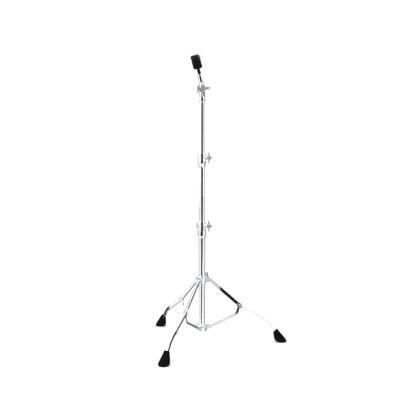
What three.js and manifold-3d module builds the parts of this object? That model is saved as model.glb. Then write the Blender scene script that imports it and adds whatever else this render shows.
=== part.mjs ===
// Straight cymbal stand: tripod base with three braced legs, three telescoping
// chrome tubes, two height clamps, a toothed tilter and a felt stack held by a
// push-button nut. Millimetres, +Z up. The floor is Z = 0. The origin is on the
// floor at the middle of the footprint; the mast stands at X = MAST_X.
import * as THREE from 'three';
import { mergeVertices } from 'three/addons/utils/BufferGeometryUtils.js';
import Module from 'manifold-3d';

const wasm = await Module();
wasm.setup();
const { Manifold, Mesh: SolidMesh } = wasm;

// ---------------------------------------------------------------- dimensions
const MAST_X = -83.58; // mast axis from the middle of the footprint
const FITTINGS_TURN = -4.1; // height clamps are turned about the mast, degrees
const GAP = 0.3; // between pieces that touch
const SIDES = 20; // facets of a large round
const SMALL = 10; // facets of a pin or screw

const BASE_TUBE = { r: 14.3, wall: 1.2, z0: 56.6, z1: 492 };
const MID_TUBE = { r: 12.7, wall: 1.2, z0: 300, z1: 770 };
const TOP_TUBE = { r: 11.1, wall: 1.2, z0: 600, z1: 1024 };

const LEG_ANGLES = [0, 120, 240]; // right, rear left, front left
const COLLAR_PIVOT = { r: 35, z: 269 };
const BRACE_PIVOT = { r: 156.5, z: 161.5 }; // on the leg
const HUB_PIVOT = { r: 35.5, z: 71.5 };
const LEG = { width: 10, depth: 16, endDepth: 12.6, wall: 1.3 };
const BRACE = { width: 6.8, depth: 12.4 };
const FOOT_BASE_R = 334.3;

const HUB = { z0: 53.7, z1: 81.5, r: 21 };
const COLLAR = { z0: 258, z1: 288, r: 20 };
const BASE_CLAMP = { z0: 446.7, z1: 515.4, axisZ: 497.2 };
const MID_CLAMP = { z0: 733.9, z1: 795.2, axisZ: 776.6 };
const BASE_SLOT_Z = 474; // lower ends of the clamp slots
const MID_SLOT_Z = 753.5;
const BOLT_Y = -20; // clamp bolts pass in front of the tubes

const TILTER = { z: 1056.6, turn: -61.1, tilt: 17.5, discR: 13, discT: 9.2, rodX: 8.6 };
// rear block of the tilter, seen along the hinge: half width, bottom, top, depth
const BLOCK = { half: 15, z0: -19.3, z1: 17.5, depth: 13 };
const SOCKET = { z0: 1003.6, z1: 1035.5, r: 12.9 };
// heights along the cymbal rod, from the tilter's hinge
const ROD = { r: 4, s0: 11, s1: 133 };
const CONE = { s0: 24, s1: 59.5, r0: 12.8, r1: 10.3 };
const SLEEVE = { r: 6.2, bore: 4.3, s0: 59.8, s1: 115.6 };
const SEAT = { s0: 81.2, s1: 84.9 };
const FELT = { r: 18.6, bore: 6.8, h: 13.8 };
const FELT1_S = 85.2;
const FELT2_S = 99.3;
const NUT = { s0: 113.4, h: 23.5, r: 18.6 };

// ---------------------------------------------------------------- materials
const finish = (color, roughness, metalness) =>
  new THREE.MeshStandardMaterial({ color, roughness, metalness });
const chrome = () => finish(0xdcdfe2, 0.12, 1);
const castChrome = () => finish(0xd2d5d8, 0.18, 1);
const zinc = () => finish(0xb4b7ba, 0.32, 1);
const rubber = () => finish(0x0b0b0c, 0.75, 0);
const nylon = () => finish(0x101112, 0.45, 0);
const felt = () => finish(0x1b1b1c, 0.98, 0);
const blackPlastic = () => finish(0x0a0a0b, 0.35, 0);
const redPlastic = () => finish(0xa01022, 0.35, 0);

// ---------------------------------------------------------------- solids
const deg = THREE.MathUtils.degToRad;

function toSolid(geometry) {
  let g = geometry.clone();
  for (const name of Object.keys(g.attributes)) if (name !== 'position') g.deleteAttribute(name);
  g = mergeVertices(g, 1e-4);
  const p = g.attributes.position;
  const index = Array.from(g.index.array);
  const tris = [];
  let volume = 0;
  for (let i = 0; i < index.length; i += 3) {
    const [a, b, c] = index.slice(i, i + 3);
    if (a === b || b === c || a === c) continue;
    tris.push(a, b, c);
    const A = new THREE.Vector3().fromBufferAttribute(p, a);
    const B = new THREE.Vector3().fromBufferAttribute(p, b);
    const C = new THREE.Vector3().fromBufferAttribute(p, c);
    volume += A.dot(B.cross(C));
  }
  if (volume < 0) for (let i = 0; i < tris.length; i += 3) [tris[i], tris[i + 1]] = [tris[i + 1], tris[i]];
  return new Manifold(new SolidMesh({
    numProp: 3,
    vertProperties: new Float32Array(p.array),
    triVerts: new Uint32Array(tris),
  }));
}

function toGeometry(solid) {
  const m = solid.getMesh();
  const n = m.numProp;
  const count = m.vertProperties.length / n;
  const xyz = new Float32Array(count * 3);
  for (let i = 0; i < count; i++) for (let k = 0; k < 3; k++) xyz[i * 3 + k] = m.vertProperties[i * n + k];
  const g = new THREE.BufferGeometry();
  g.setAttribute('position', new THREE.BufferAttribute(xyz, 3));
  g.setIndex(new THREE.BufferAttribute(new Uint32Array(m.triVerts), 1));
  g.computeVertexNormals();
  return g;
}

// profile of [radius, height] pairs turned about Z
function turned(profile, sides = SIDES) {
  const g = new THREE.LatheGeometry(profile.map(([r, z]) => new THREE.Vector2(Math.max(r, 0), z)), sides);
  g.rotateX(Math.PI / 2);
  return toSolid(g);
}
const rod = (r, z0, z1, sides = SIDES) => turned([[0, z0], [r, z0], [r, z1], [0, z1]], sides);
const ring = (r0, r1, z0, z1, sides = SIDES) =>
  turned([[r0, z0], [r1, z0], [r1, z1], [r0, z1], [r0, z0]], sides);

// outline in the XY plane, raised from z0 to z1
function slab(points, z0, z1, bevel = 0) {
  const shape = points instanceof THREE.Shape
    ? points : new THREE.Shape(points.map(([x, y]) => new THREE.Vector2(x, y)));
  const g = new THREE.ExtrudeGeometry(shape, {
    depth: z1 - z0 - 2 * bevel, bevelEnabled: bevel > 0, bevelThickness: bevel,
    bevelSize: bevel, bevelOffset: -bevel, bevelSegments: 1, curveSegments: 3,
  });
  g.translate(0, 0, z0 + bevel);
  return g;
}
const slabSolid = (points, z0, z1, bevel = 0) => toSolid(slab(points, z0, z1, bevel));
// outline in the XZ plane, centred on Y = 0
function sidePlate(points, width, bevel = 0, y = 0) {
  const g = slab(points, -width / 2, width / 2, bevel);
  g.rotateX(Math.PI / 2);
  g.translate(0, y, 0);
  return toSolid(g);
}
// outline in the YZ plane, from x0 to x1
function crossPlate(points, x0, x1, bevel = 0) {
  const g = slab(points, x0, x1, bevel);
  g.applyMatrix4(new THREE.Matrix4().set(0, 0, 1, 0, 1, 0, 0, 0, 0, 1, 0, 0, 0, 0, 0, 1));
  return toSolid(g);
}
function block(x0, x1, y0, y1, z0, z1) {
  const g = new THREE.BoxGeometry(x1 - x0, y1 - y0, z1 - z0);
  g.translate((x0 + x1) / 2, (y0 + y1) / 2, (z0 + z1) / 2);
  return toSolid(g);
}
// stack of equal rings of points, closed by flat ends
function loft(rings) {
  const n = rings[0].length;
  const xyz = [];
  const tris = [];
  for (const r of rings) for (const p of r) xyz.push(p.x, p.y, p.z);
  for (let i = 0; i + 1 < rings.length; i++) {
    for (let k = 0; k < n; k++) {
      const a = i * n + k, b = i * n + ((k + 1) % n), c = a + n, d = b + n;
      tris.push(a, b, d, a, d, c);
    }
  }
  const last = (rings.length - 1) * n;
  for (let k = 1; k + 1 < n; k++) {
    tris.push(0, k + 1, k);
    tris.push(last, last + k, last + k + 1);
  }
  const g = new THREE.BufferGeometry();
  g.setAttribute('position', new THREE.Float32BufferAttribute(xyz, 3));
  g.setIndex(tris);
  return toSolid(g);
}
const along = (solid, axis) => {
  // a solid made about +Z, laid along +X or +Y
  if (axis === 'x') return solid.rotate([0, 90, 0]);
  if (axis === 'y') return solid.rotate([-90, 0, 0]);
  return solid;
};
const rodX = (r, x0, x1, y, z, sides = SMALL) => along(rod(r, x0, x1, sides), 'x').translate([0, y, z]);
const rodY = (r, y0, y1, x, z, sides = SMALL) => along(rod(r, y0, y1, sides), 'y').translate([x, 0, z]);
const join = (...s) => s.reduce((a, b) => a.add(b));
const cut = (a, ...s) => s.reduce((x, b) => x.subtract(b), a);

// path of straight runs joined by arcs
function softPath(points, radii, steps = 4) {
  const out = [new THREE.Vector2(...points[0])];
  for (let i = 1; i + 1 < points.length; i++) {
    const a = new THREE.Vector2(...points[i - 1]);
    const b = new THREE.Vector2(...points[i]);
    const c = new THREE.Vector2(...points[i + 1]);
    const u = a.clone().sub(b).normalize();
    const v = c.clone().sub(b).normalize();
    const half = Math.acos(u.dot(v)) / 2;
    const t = radii[i - 1] / Math.tan(half);
    const centre = b.clone().add(u.clone().add(v).normalize().multiplyScalar(radii[i - 1] / Math.sin(half)));
    const p = b.clone().addScaledVector(u, t).sub(centre);
    const q = b.clone().addScaledVector(v, t).sub(centre);
    let turn = q.angle() - p.angle();
    turn = ((turn + Math.PI) % (2 * Math.PI) + 2 * Math.PI) % (2 * Math.PI) - Math.PI;
    for (let k = 0; k <= steps; k++) {
      out.push(p.clone().rotateAround(new THREE.Vector2(), (turn * k) / steps).add(centre));
    }
  }
  out.push(new THREE.Vector2(...points[points.length - 1]));
  return out;
}
// outline at the given half depths on both sides of a path
function stripOutline(path, upper, lower) {
  const up = [];
  const down = [];
  path.forEach((p, i) => {
    const a = path[Math.max(i - 1, 0)];
    const b = path[Math.min(i + 1, path.length - 1)];
    const t = b.clone().sub(a).normalize();
    const n = new THREE.Vector2(-t.y, t.x);
    up.push([p.x + n.x * upper(p, i), p.y + n.y * upper(p, i)]);
    down.push([p.x - n.x * lower(p, i), p.y - n.y * lower(p, i)]);
  });
  return up.concat(down.reverse());
}
const circlePoints = (cx, cy, r, n = 20, a0 = 0, a1 = 2 * Math.PI) =>
  Array.from({ length: n }, (_, k) => {
    const a = a0 + ((a1 - a0) * k) / (a1 - a0 > 6.28 ? n : n - 1);
    return [cx + r * Math.cos(a), cy + r * Math.sin(a)];
  });
function hexagon(across, z0, z1) {
  return slabSolid(circlePoints(0, 0, across / Math.sqrt(3), 6), z0, z1);
}

// ---------------------------------------------------------------- scene graph
const stand = new THREE.Group();
const mast = new THREE.Group();
mast.position.set(MAST_X, 0, 0);
stand.add(mast);

function put(group, name, solid, material) {
  const mesh = new THREE.Mesh(toGeometry(solid), material);
  mesh.name = name;
  group.add(mesh);
  return mesh;
}

// ---------------------------------------------------------------- tubes
const tube = ({ r, wall, z0, z1 }) => turned([
  [r - wall, z0], [r, z0], [r, z1], [r - wall, z1], [r - wall, z0],
]);
put(mast, 'base_tube', tube(BASE_TUBE), chrome());
put(mast, 'middle_tube', tube(MID_TUBE), chrome());
put(mast, 'top_tube', tube(TOP_TUBE), chrome());

// plug that closes the lower end of the base tube
put(mast, 'base_tube_plug', turned([
  [0, 57.6], [12.8, 57.6], [12.8, 70], [11.3, 70], [11.3, 60.6], [0, 60.6],
], 16), rubber());
// nylon rings clipped into the lower ends of the sliding tubes; their outer lip
// guides the tube inside the next larger one
const guide = (t) => turned([
  [t.r - t.wall - 2.3, t.z0 - 6], [t.r + 0.1, t.z0 - 6], [t.r + 0.1, t.z0 - GAP],
  [t.r - t.wall - GAP, t.z0 - GAP], [t.r - t.wall - GAP, t.z0 + 14], [t.r - t.wall - 2.3, t.z0 + 14],
  [t.r - t.wall - 2.3, t.z0 - 6],
], 16);
put(mast, 'middle_tube_guide', guide(MID_TUBE), nylon());
put(mast, 'top_tube_guide', guide(TOP_TUBE), nylon());

// ---------------------------------------------------------------- lower hub
const earOutline = (r0, pivot, radius, z0, z1) => [
  [r0, z0], ...circlePoints(pivot.r, pivot.z, radius, 6, -Math.PI / 2, Math.PI / 2), [r0, z1],
];
function hubSolid() {
  let body = turned([
    [11.6, HUB.z0], [19.4, HUB.z0], [HUB.r, HUB.z0 + 1.6], [HUB.r, 72], [18.2, 76.6], [16.6, HUB.z1],
    [14.55, HUB.z1], [14.55, 56.3], [11.6, 56.3], [11.6, HUB.z0],
  ]);
  for (const a of LEG_ANGLES) {
    for (const side of [1, -1]) {
      // each ear starts inside the ring and ends round its pivot
      let ear = sidePlate(earOutline(16, HUB_PIVOT, 7.4, 59.6, 79), 2.6, 0, side * 5.35);
      const head = rodY(4.1, 0, 1.5, HUB_PIVOT.r, HUB_PIVOT.z, 8);
      ear = ear.add(side > 0 ? head.translate([0, 6.5, 0]) : head.translate([0, -8.0, 0]));
      body = body.add(ear.rotate([0, 0, a]));
    }
  }
  const bore = rod(14.55, 56.3, 90);
  const lip = rod(11.6, 50, 60);
  const screwHole = along(rod(3.3, 0, 40, SMALL), 'x').translate([0, 0, 66]).rotate([0, 0, 60]);
  return cut(body, bore, lip, screwHole);
}
put(mast, 'lower_hub', hubSolid(), castChrome());
put(mast, 'lower_hub_screw', cut(
  along(turned([[0, 14.9], [3, 14.9], [3, 20.2], [2.6, 20.6], [0, 20.6]], SMALL), 'x'),
  along(hexagon(3, 18.4, 25), 'x'),
).translate([0, 0, 66]).rotate([0, 0, 60]), zinc());

// ---------------------------------------------------------------- leg collar
function collarSolid() {
  let body = turned([
    [16.5, COLLAR.z0], [COLLAR.r - 0.6, COLLAR.z0], [COLLAR.r, COLLAR.z0 + 1.2], [COLLAR.r, COLLAR.z1 - 4],
    [17.8, COLLAR.z1], [16.5, COLLAR.z1], [16.5, COLLAR.z0],
  ]);
  for (const a of LEG_ANGLES) {
    for (const side of [1, -1]) {
      const ear = sidePlate(earOutline(17.4, COLLAR_PIVOT, 8, 260.5, 280), 2.5, 0, side * 6.6);
      body = body.add(ear.rotate([0, 0, a]));
    }
  }
  // boss of the clamping screw, between the right and the rear leg
  const boss = along(turned([[0, 15], [8.2, 15], [8.2, 26], [7.2, 27], [0, 27]], 14), 'x')
    .translate([0, 0, 273]).rotate([0, 0, 60]);
  const hole = along(rod(3.4, 0, 40, SMALL), 'x').translate([0, 0, 273]).rotate([0, 0, 60]);
  const pins = LEG_ANGLES.map((a) =>
    rodY(3.35, -12, 12, COLLAR_PIVOT.r, COLLAR_PIVOT.z).rotate([0, 0, a]));
  return cut(body.add(boss), rod(16.5, 250, 300), hole, ...pins);
}
put(mast, 'leg_collar', collarSolid(), castChrome());
put(mast, 'leg_collar_liner', ring(14.6, 16.2, COLLAR.z0 + 0.6, COLLAR.z1 - 0.6), nylon());

// wing plate with two lobes and a hole in each, about the nut's own +Z axis
function wingPlate(z0, z1) {
  const shape = new THREE.Shape();
  const lobe = 5.6, reach = 16.6, waist = 4.1;
  shape.moveTo(0, waist + 4.4);
  shape.quadraticCurveTo(8, waist + 2.4, reach - 4, lobe - 0.4);
  shape.absarc(reach, 0, lobe, Math.PI * 0.62, -Math.PI * 0.62, true);
  shape.quadraticCurveTo(8, -waist - 2.4, 0, -waist - 4.4);
  shape.quadraticCurveTo(-8, -waist - 2.4, -reach + 4, -lobe + 0.4);
  shape.absarc(-reach, 0, lobe, -Math.PI * 0.38, Math.PI * 0.38, true);
  shape.quadraticCurveTo(-8, waist + 2.4, 0, waist + 4.4);
  const solid = slabSolid(shape, z0, z1);
  const slot = (x) => slabSolid([
    ...circlePoints(x + 1.2, 0, 2.1, 4, -Math.PI / 2, Math.PI / 2),
    ...circlePoints(x - 1.2, 0, 2.1, 4, Math.PI / 2, (3 * Math.PI) / 2),
  ], z0 - 1, z1 + 1);
  return cut(solid, slot(16.4), slot(-16.4));
}
// blind wing nut: flange at z = 0, rounded tip at z = 18.6
function wingNut(bore = 3.3, depth = 13) {
  const hub = turned([
    [0, 0], [8, 0], [7.7, 9.8], [6.4, 13.8], [4.2, 17.4], [0, 18.6],
  ], 12);
  const body = hub.add(wingPlate(4.2, 9.6));
  return bore > 0 ? cut(body, rod(bore, -1, depth, SMALL)) : body;
}
// wing bolt of the leg collar: shank and wings in one piece
put(mast, 'leg_collar_wing_bolt', along(join(
  turned([[0, 16.9], [2.4, 16.9], [3, 17.6], [3, 40], [0, 40]], SMALL),
  wingNut(0).rotate([0, 0, 90]).translate([0, 0, 38.6]),
), 'x').rotate([90, 0, 0]).translate([0, 0, 273]).rotate([0, 0, 60]), castChrome());

// ---------------------------------------------------------------- legs
const legPath = softPath([[29.2, 274.13], [162, 156.6], [276.5, 87.6], [316.5, 33.5]], [80, 120], 3);
const legHalf = (p) => {
  const t = THREE.MathUtils.clamp((p.x - 240) / 50, 0, 1);
  return THREE.MathUtils.lerp(LEG.depth / 2, LEG.endDepth / 2, t);
};
// pressed channel, open underneath, with a rounded end about the collar pivot
function legSolid() {
  const pivot = new THREE.Vector2(COLLAR_PIVOT.r, COLLAR_PIVOT.z);
  const path = [pivot, ...legPath.slice(1)];
  const heading = path[1].clone().sub(path[0]).angle();
  const around = (r, from, to, n) => circlePoints(pivot.x, pivot.y, r, n, heading + from, heading + to);
  const outer = stripOutline(path, legHalf, legHalf);
  const inner = stripOutline(path, (p) => legHalf(p) - LEG.wall, () => 30);
  const half = LEG.depth / 2;
  outer.splice(outer.length - 1, 1, ...around(half, -Math.PI / 2, -1.5 * Math.PI, 8).slice(0, -1));
  inner.push(...around(24, -2.2, -2.9, 2), ...around(half - LEG.wall, -Math.PI, -1.5 * Math.PI, 4).slice(0, -1));
  return cut(
    sidePlate(outer, LEG.width, 1.5),
    sidePlate(inner, LEG.width - 2 * LEG.wall),
    rodY(3.35, -12, 12, COLLAR_PIVOT.r, COLLAR_PIVOT.z),
    rodY(2.85, -12, 12, BRACE_PIVOT.r, BRACE_PIVOT.z),
  );
}
// folded steel clip over the leg at the brace pivot
function saddleSolid() {
  const u = new THREE.Vector2(162 - 35, 156.6 - 269).normalize();
  const v = new THREE.Vector2(-u.y, u.x);
  const at = (a, b) => [BRACE_PIVOT.r + u.x * a + v.x * b, BRACE_PIVOT.z + u.y * a + v.y * b];
  const outer = [at(-9.5, 10), at(4.6, 10), at(7, 7), at(6, -8.4), at(3, -10.6), at(-5, -10.6), at(-9.5, -7)];
  const inner = [at(-20, 8.35), at(20, 8.35), at(20, -20), at(-20, -20)];
  return cut(
    sidePlate(outer, LEG.width + 2 * (GAP + 1.6), 0.8),
    sidePlate(inner, LEG.width + 2 * GAP),
    rodY(2.85, -12, 12, BRACE_PIVOT.r, BRACE_PIVOT.z, SMALL),
  );
}
const rivet = (half, r, head) => turned([
  [0, -half - 1.9], [head * 0.7, -half - 1.9], [head, -half], [r, -half],
  [r, half], [head, half], [head * 0.7, half + 1.9], [0, half + 1.9],
], 8);
function footSolid() {
  const sections = [
    [334.6, 0, 20, 0], [334.3, 4.5, 23, 0], [327, 14, 22, 12], [318.6, 27.5, 17.6, 25],
    [308.8, 48.3, 11.7, 36.9], [307.9, 49.4, 10.6, 36.9],
  ];
  const rings = sections.map(([r, z, radius, tilt]) => {
    const c = Math.cos(deg(tilt)), s = Math.sin(deg(tilt));
    return Array.from({ length: 18 }, (_, k) => {
      const a = (2 * Math.PI * k) / 18;
      return new THREE.Vector3(r + radius * Math.cos(a) * c, radius * Math.sin(a), z + radius * Math.cos(a) * s);
    });
  });
  const end = legPath.length - 1;
  const a = legPath[end - 1], b = legPath[end];
  const dir = b.clone().sub(a).normalize();
  const path = [b.clone().addScaledVector(dir, -60), b.clone().addScaledVector(dir, 1.5)];
  const half = LEG.endDepth / 2 + GAP;
  return cut(loft(rings), sidePlate(stripOutline(path, () => half, () => half), LEG.width + 2 * GAP));
}

// ---------------------------------------------------------------- braces
function braceSolid() {
  const path = softPath([
    [BRACE_PIVOT.r, BRACE_PIVOT.z], [144.9, 123.1], [HUB_PIVOT.r, HUB_PIVOT.z],
  ], [22], 4);
  const half = BRACE.depth / 2;
  const outline = stripOutline(path, () => half, () => half);
  const a0 = path[1].clone().sub(path[0]).angle();
  const a1 = path[path.length - 1].clone().sub(path[path.length - 2]).angle();
  const far = circlePoints(HUB_PIVOT.r, HUB_PIVOT.z, half, 6, a1 + Math.PI / 2, a1 - Math.PI / 2);
  const near = circlePoints(BRACE_PIVOT.r, BRACE_PIVOT.z, half, 6, a0 - Math.PI / 2, a0 - 1.5 * Math.PI);
  const n = path.length;
  outline.splice(n - 1, 2, ...far);
  outline.splice(outline.length - 1, 1, ...near.slice(0, -1));
  return cut(
    sidePlate(outline, BRACE.width, 1),
    rodY(2.85, -12, 12, BRACE_PIVOT.r, BRACE_PIVOT.z),
    rodY(2.85, -12, 12, HUB_PIVOT.r, HUB_PIVOT.z),
  );
}

const NAMES = ['right', 'rear_left', 'front_left'];
NAMES.forEach((name, i) => {
  const side = new THREE.Group();
  side.rotation.z = deg(LEG_ANGLES[i]);
  mast.add(side);
  put(side, `leg_${name}`, legSolid(), chrome());
  put(side, `foot_${name}`, footSolid(), rubber());
  put(side, `leg_saddle_${name}`, saddleSolid(), chrome());
  put(side, `brace_${name}`, braceSolid(), chrome());
  put(side, `leg_pivot_pin_${name}`,
    along(rivet(8.15, 3, 5), 'y').translate([COLLAR_PIVOT.r, 0, COLLAR_PIVOT.z]), zinc());
  put(side, `brace_pivot_pin_${name}`,
    along(rivet(7.2, 2.5, 4.2), 'y').translate([BRACE_PIVOT.r, 0, BRACE_PIVOT.z]), zinc());
  put(side, `brace_hub_pin_${name}`,
    rodY(2.5, -3.7, 3.7, HUB_PIVOT.r, HUB_PIVOT.z, SMALL), zinc());
});

// ---------------------------------------------------------------- clamps
// casting around the top of a tube: a sleeve with a rounded cheek on each side
// of a slot at the front. A stud set in the left cheek crosses the slot, runs
// out through a boss on the right and carries the wing nut that closes the slot
const CHEEK = { R: 31.1, xc: 6.9, yc: 1, seat: 19.2, slot: 3.8 };
function clampSolid(spec, tubeR, innerR, profile, slotZ) {
  const sleeve = turned(profile);
  const arc = (a0, a1, n) => Array.from({ length: n }, (_, k) => deg(a0 + ((a1 - a0) * k) / (n - 1)));
  const { R, xc, yc, seat } = CHEEK;
  // the cheeks from above and from the front
  const plan = [
    ...arc(72, 20, 7).map((a) => [xc - R * Math.sin(a), yc - R * Math.cos(a)]),
    ...arc(20, 57, 6).map((a) => [R * Math.sin(a) - xc, yc - R * Math.cos(a)]),
    [seat, -4], [-22.7, -4],
  ];
  const front = [
    [-22.8, -10], [-21.6, -13.5], [-18, -16], [10, -16], [14, -13.5], [19.3, -6.4],
    [19.3, 6], [10.8, 17.6], [-17.5, 17.6], [-21.4, 16], [-22.8, 12.5],
  ].map(([x, z]) => [x, z + spec.axisZ]);
  const cheeks = slabSolid(plan, spec.axisZ - 16, spec.axisZ + 17.6, 1.6).intersect(sidePlate(front, 70, 0, -20));
  const boss = rodX(6.7, 4, seat, BOLT_Y, spec.axisZ, 16);
  return cut(
    join(sleeve, cheeks, boss),
    rod(tubeR + 0.3, spec.z0 - 5, slotZ),
    rod(tubeR + 1.4, slotZ - 2.3, spec.z1 - 3.1),
    rod(innerR + 0.6, slotZ, spec.z1 + 5),
    block(-CHEEK.slot, CHEEK.slot, -50, -6, slotZ, spec.z1 + 5),
    rodX(3.5, -14.4, 40, BOLT_Y, spec.axisZ, SMALL),
  );
}
// split liner of a clamp, stepped over the end of the outer tube
function bushing(inner, step, outer, z0, zs, z1) {
  return cut(
    turned([[step, z0], [outer, z0], [outer, z1], [inner, z1], [inner, zs], [step, zs], [step, z0]]),
    block(-2, 2, 0, 50, z0 - 2, z1 + 2),
  );
}
const clampBolt = (z) => along(turned([
  [0, -13.8], [2.6, -13.8], [3.1, -13.2], [3.1, 31], [2.6, 31.6], [0, 31.6],
], SMALL), 'x').translate([0, BOLT_Y, z]);
const washer = (z) => along(ring(3.4, 7.4, 19.5, 20.7, 12), 'x').translate([0, BOLT_Y, z]);
// wing nuts stand with their wings upright
const clampWing = (z) => along(wingNut(3.4, 12.4), 'x').translate([21, BOLT_Y, z]);

const fittings = new THREE.Group();
fittings.rotation.z = deg(FITTINGS_TURN);
mast.add(fittings);

const bc = BASE_CLAMP;
put(fittings, 'base_clamp', clampSolid(bc, BASE_TUBE.r, MID_TUBE.r, [
  [12.9, bc.z0], [15.4, bc.z0], [18.2, bc.z0 + 7], [18.2, bc.z1 - 6], [17.2, bc.z1 - 2.4],
  [14.8, bc.z1], [12.9, bc.z1], [12.9, bc.z0],
], BASE_SLOT_Z), castChrome());
put(fittings, 'base_clamp_bushing', bushing(
  MID_TUBE.r + 0.25, BASE_TUBE.r + 0.25, BASE_TUBE.r + 1.2, BASE_SLOT_Z - 2, BASE_TUBE.z1 + 0.5, bc.z1 - 3.4,
), nylon());
put(fittings, 'base_clamp_bolt', clampBolt(bc.axisZ), zinc());
put(fittings, 'base_clamp_washer', washer(bc.axisZ), zinc());
put(fittings, 'base_clamp_wing_nut', clampWing(bc.axisZ), castChrome());

const mc = MID_CLAMP;
put(fittings, 'middle_clamp', clampSolid(mc, MID_TUBE.r, TOP_TUBE.r, [
  [12, mc.z0], [13.8, mc.z0], [14.4, mc.z0 + 7], [17.6, mc.z0 + 20], [18.2, mc.z0 + 26],
  [18.2, mc.z1 - 6], [17, mc.z1 - 2.6], [13.8, mc.z1], [12, mc.z1], [12, mc.z0],
], MID_SLOT_Z), castChrome());
put(fittings, 'middle_clamp_bushing', bushing(
  TOP_TUBE.r + 0.25, MID_TUBE.r + 0.25, MID_TUBE.r + 1.2, MID_SLOT_Z - 2, MID_TUBE.z1 + 0.5, mc.z1 - 3.4,
), nylon());
put(fittings, 'middle_clamp_bolt', clampBolt(mc.axisZ), zinc());
put(fittings, 'middle_clamp_washer', washer(mc.axisZ), zinc());
put(fittings, 'middle_clamp_wing_nut', clampWing(mc.axisZ), castChrome());

// ---------------------------------------------------------------- tilter
// in this group +X is the hinge axis and Z = 0 is the hinge
const tilter = new THREE.Group();
tilter.position.set(0, 0, TILTER.z);
tilter.rotation.z = deg(TILTER.turn);
mast.add(tilter);
const head = new THREE.Group();
head.rotation.x = deg(TILTER.tilt);
tilter.add(head);

const TEETH = 10;
// radial notches in a disc face at x, cut to the given side
function notches(x, side) {
  const list = [];
  for (let k = 0; k < TEETH; k++) {
    const g = new THREE.CylinderGeometry(1.25, 1.25, 5.2, 4, 1);
    g.translate(0, 10.6, 0);
    g.scale(side * 1, 1, 1);
    const s = toSolid(g).translate([x, 0, 0]);
    list.push(s.rotate([(360 * k) / TEETH, 0, 0]));
  }
  return list;
}
function disc(x0, x1) {
  const r = TILTER.discR;
  return along(turned([[0, x0], [r, x0], [r, x1 - 1.4], [r - 1.4, x1], [0, x1]]), 'x');
}
function socketSolid() {
  const z0 = SOCKET.z0 - TILTER.z, z1 = SOCKET.z1 - TILTER.z;
  const top = -TILTER.discR - 1;
  const sleeve = turned([
    [0, z0], [12.2, z0], [SOCKET.r, z0 + 1], [SOCKET.r, top - 1], [SOCKET.r - 1, top], [0, top],
  ]);
  // rear block: nearly square seen along the hinge, its top corners well rounded
  const { half, z0: b0, z1: b1, depth } = BLOCK;
  const rear = crossPlate([
    ...circlePoints(half - 3, b0 + 3, 3, 3, -Math.PI / 2, 0),
    ...circlePoints(half - 7, b1 - 7, 7, 5, 0, Math.PI / 2),
    ...circlePoints(-half + 7, b1 - 7, 7, 5, Math.PI / 2, Math.PI),
    ...circlePoints(-half + 3, b0 + 3, 3, 3, Math.PI, 1.5 * Math.PI),
  ], -depth, -0.15);
  const swept = along(rod(TILTER.discR + 0.6, -0.15, 30), 'x');
  // sloping flat on the front of the sleeve, under the disc
  const flat = sidePlate([[12.9, -37], [9.6, -13.5], [9.6, 0], [30, 0], [30, -37]], 60);
  return cut(
    join(cut(sleeve, swept, flat), rear),
    rod(TOP_TUBE.r + 0.2, z0 - 5, TOP_TUBE.z1 - TILTER.z + 0.4),
    along(rod(3.6, -30, 30, SMALL), 'x'),
    rodY(2.7, 0, 30, 0, z0 + 6.4, SMALL),
    along(hexagon(12.7, -20, -6.2), 'x'),
    ...notches(-0.15, 1),
  );
}
put(tilter, 'tilter_socket', socketSolid(), castChrome());
// screw that locks the socket on the top tube
put(tilter, 'socket_screw', cut(
  join(rodY(2.4, 11.7, 15, 0, 0, SMALL), along(turned([[0, 13.4], [3.9, 13.4], [3.9, 15.6], [3, 16.6], [0, 16.6]], SMALL), 'y')),
  rodY(1.3, 14.6, 20, 0, 0, 6),
).translate([0, 0, SOCKET.z0 - TILTER.z + 6.4]), zinc());
put(tilter, 'tilter_bolt', join(
  along(hexagon(12.1, -10.6, -6.5), 'x'),
  along(turned([[0, -7], [3.2, -7], [3.2, 31.4], [2.7, 32], [0, 32]], SMALL), 'x'),
), zinc());

function headSolid() {
  const front = disc(0.15, 0.15 + TILTER.discT);
  const hubBoss = along(turned([[0, 5], [9.2, 5], [9.2, 18], [8.4, 18.8], [0, 18.8]], 16), 'x');
  const n = 18;
  const section = (cx, rx, ry, z) => Array.from({ length: n }, (_, k) => {
    const a = (2 * Math.PI * k) / n;
    return new THREE.Vector3(cx + rx * Math.cos(a), ry * Math.sin(a), z);
  });
  const boss = loft([
    section(5, 4.6, 11.5, 6), section(TILTER.rodX, 10.4, 11.6, 19), section(TILTER.rodX, 11.4, 11.4, 23.2),
  ]);
  return cut(
    join(front, hubBoss, cut(boss, block(-30, 0.15, -40, 40, -40, 40))),
    along(rod(3.6, -30, 30, SMALL), 'x'),
    rod(ROD.r + GAP, ROD.s0 - 0.5, 40, 24).translate([TILTER.rodX, 0, 0]),
    ...notches(0.15, 1),
  );
}
put(head, 'tilter_head', headSolid(), castChrome());
put(tilter, 'tilter_washer', along(ring(3.6, 7.8, 19.1, 20.4, 20), 'x'), zinc());
put(tilter, 'tilter_wing_nut', along(wingNut(3.5, 12.2), 'x').rotate([90, 0, 0]).translate([20.7, 0, 0]), castChrome());

// ---------------------------------------------------------------- cymbal rod and stack
const stack = new THREE.Group();
stack.position.set(TILTER.rodX, 0, 0);
head.add(stack);

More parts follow.
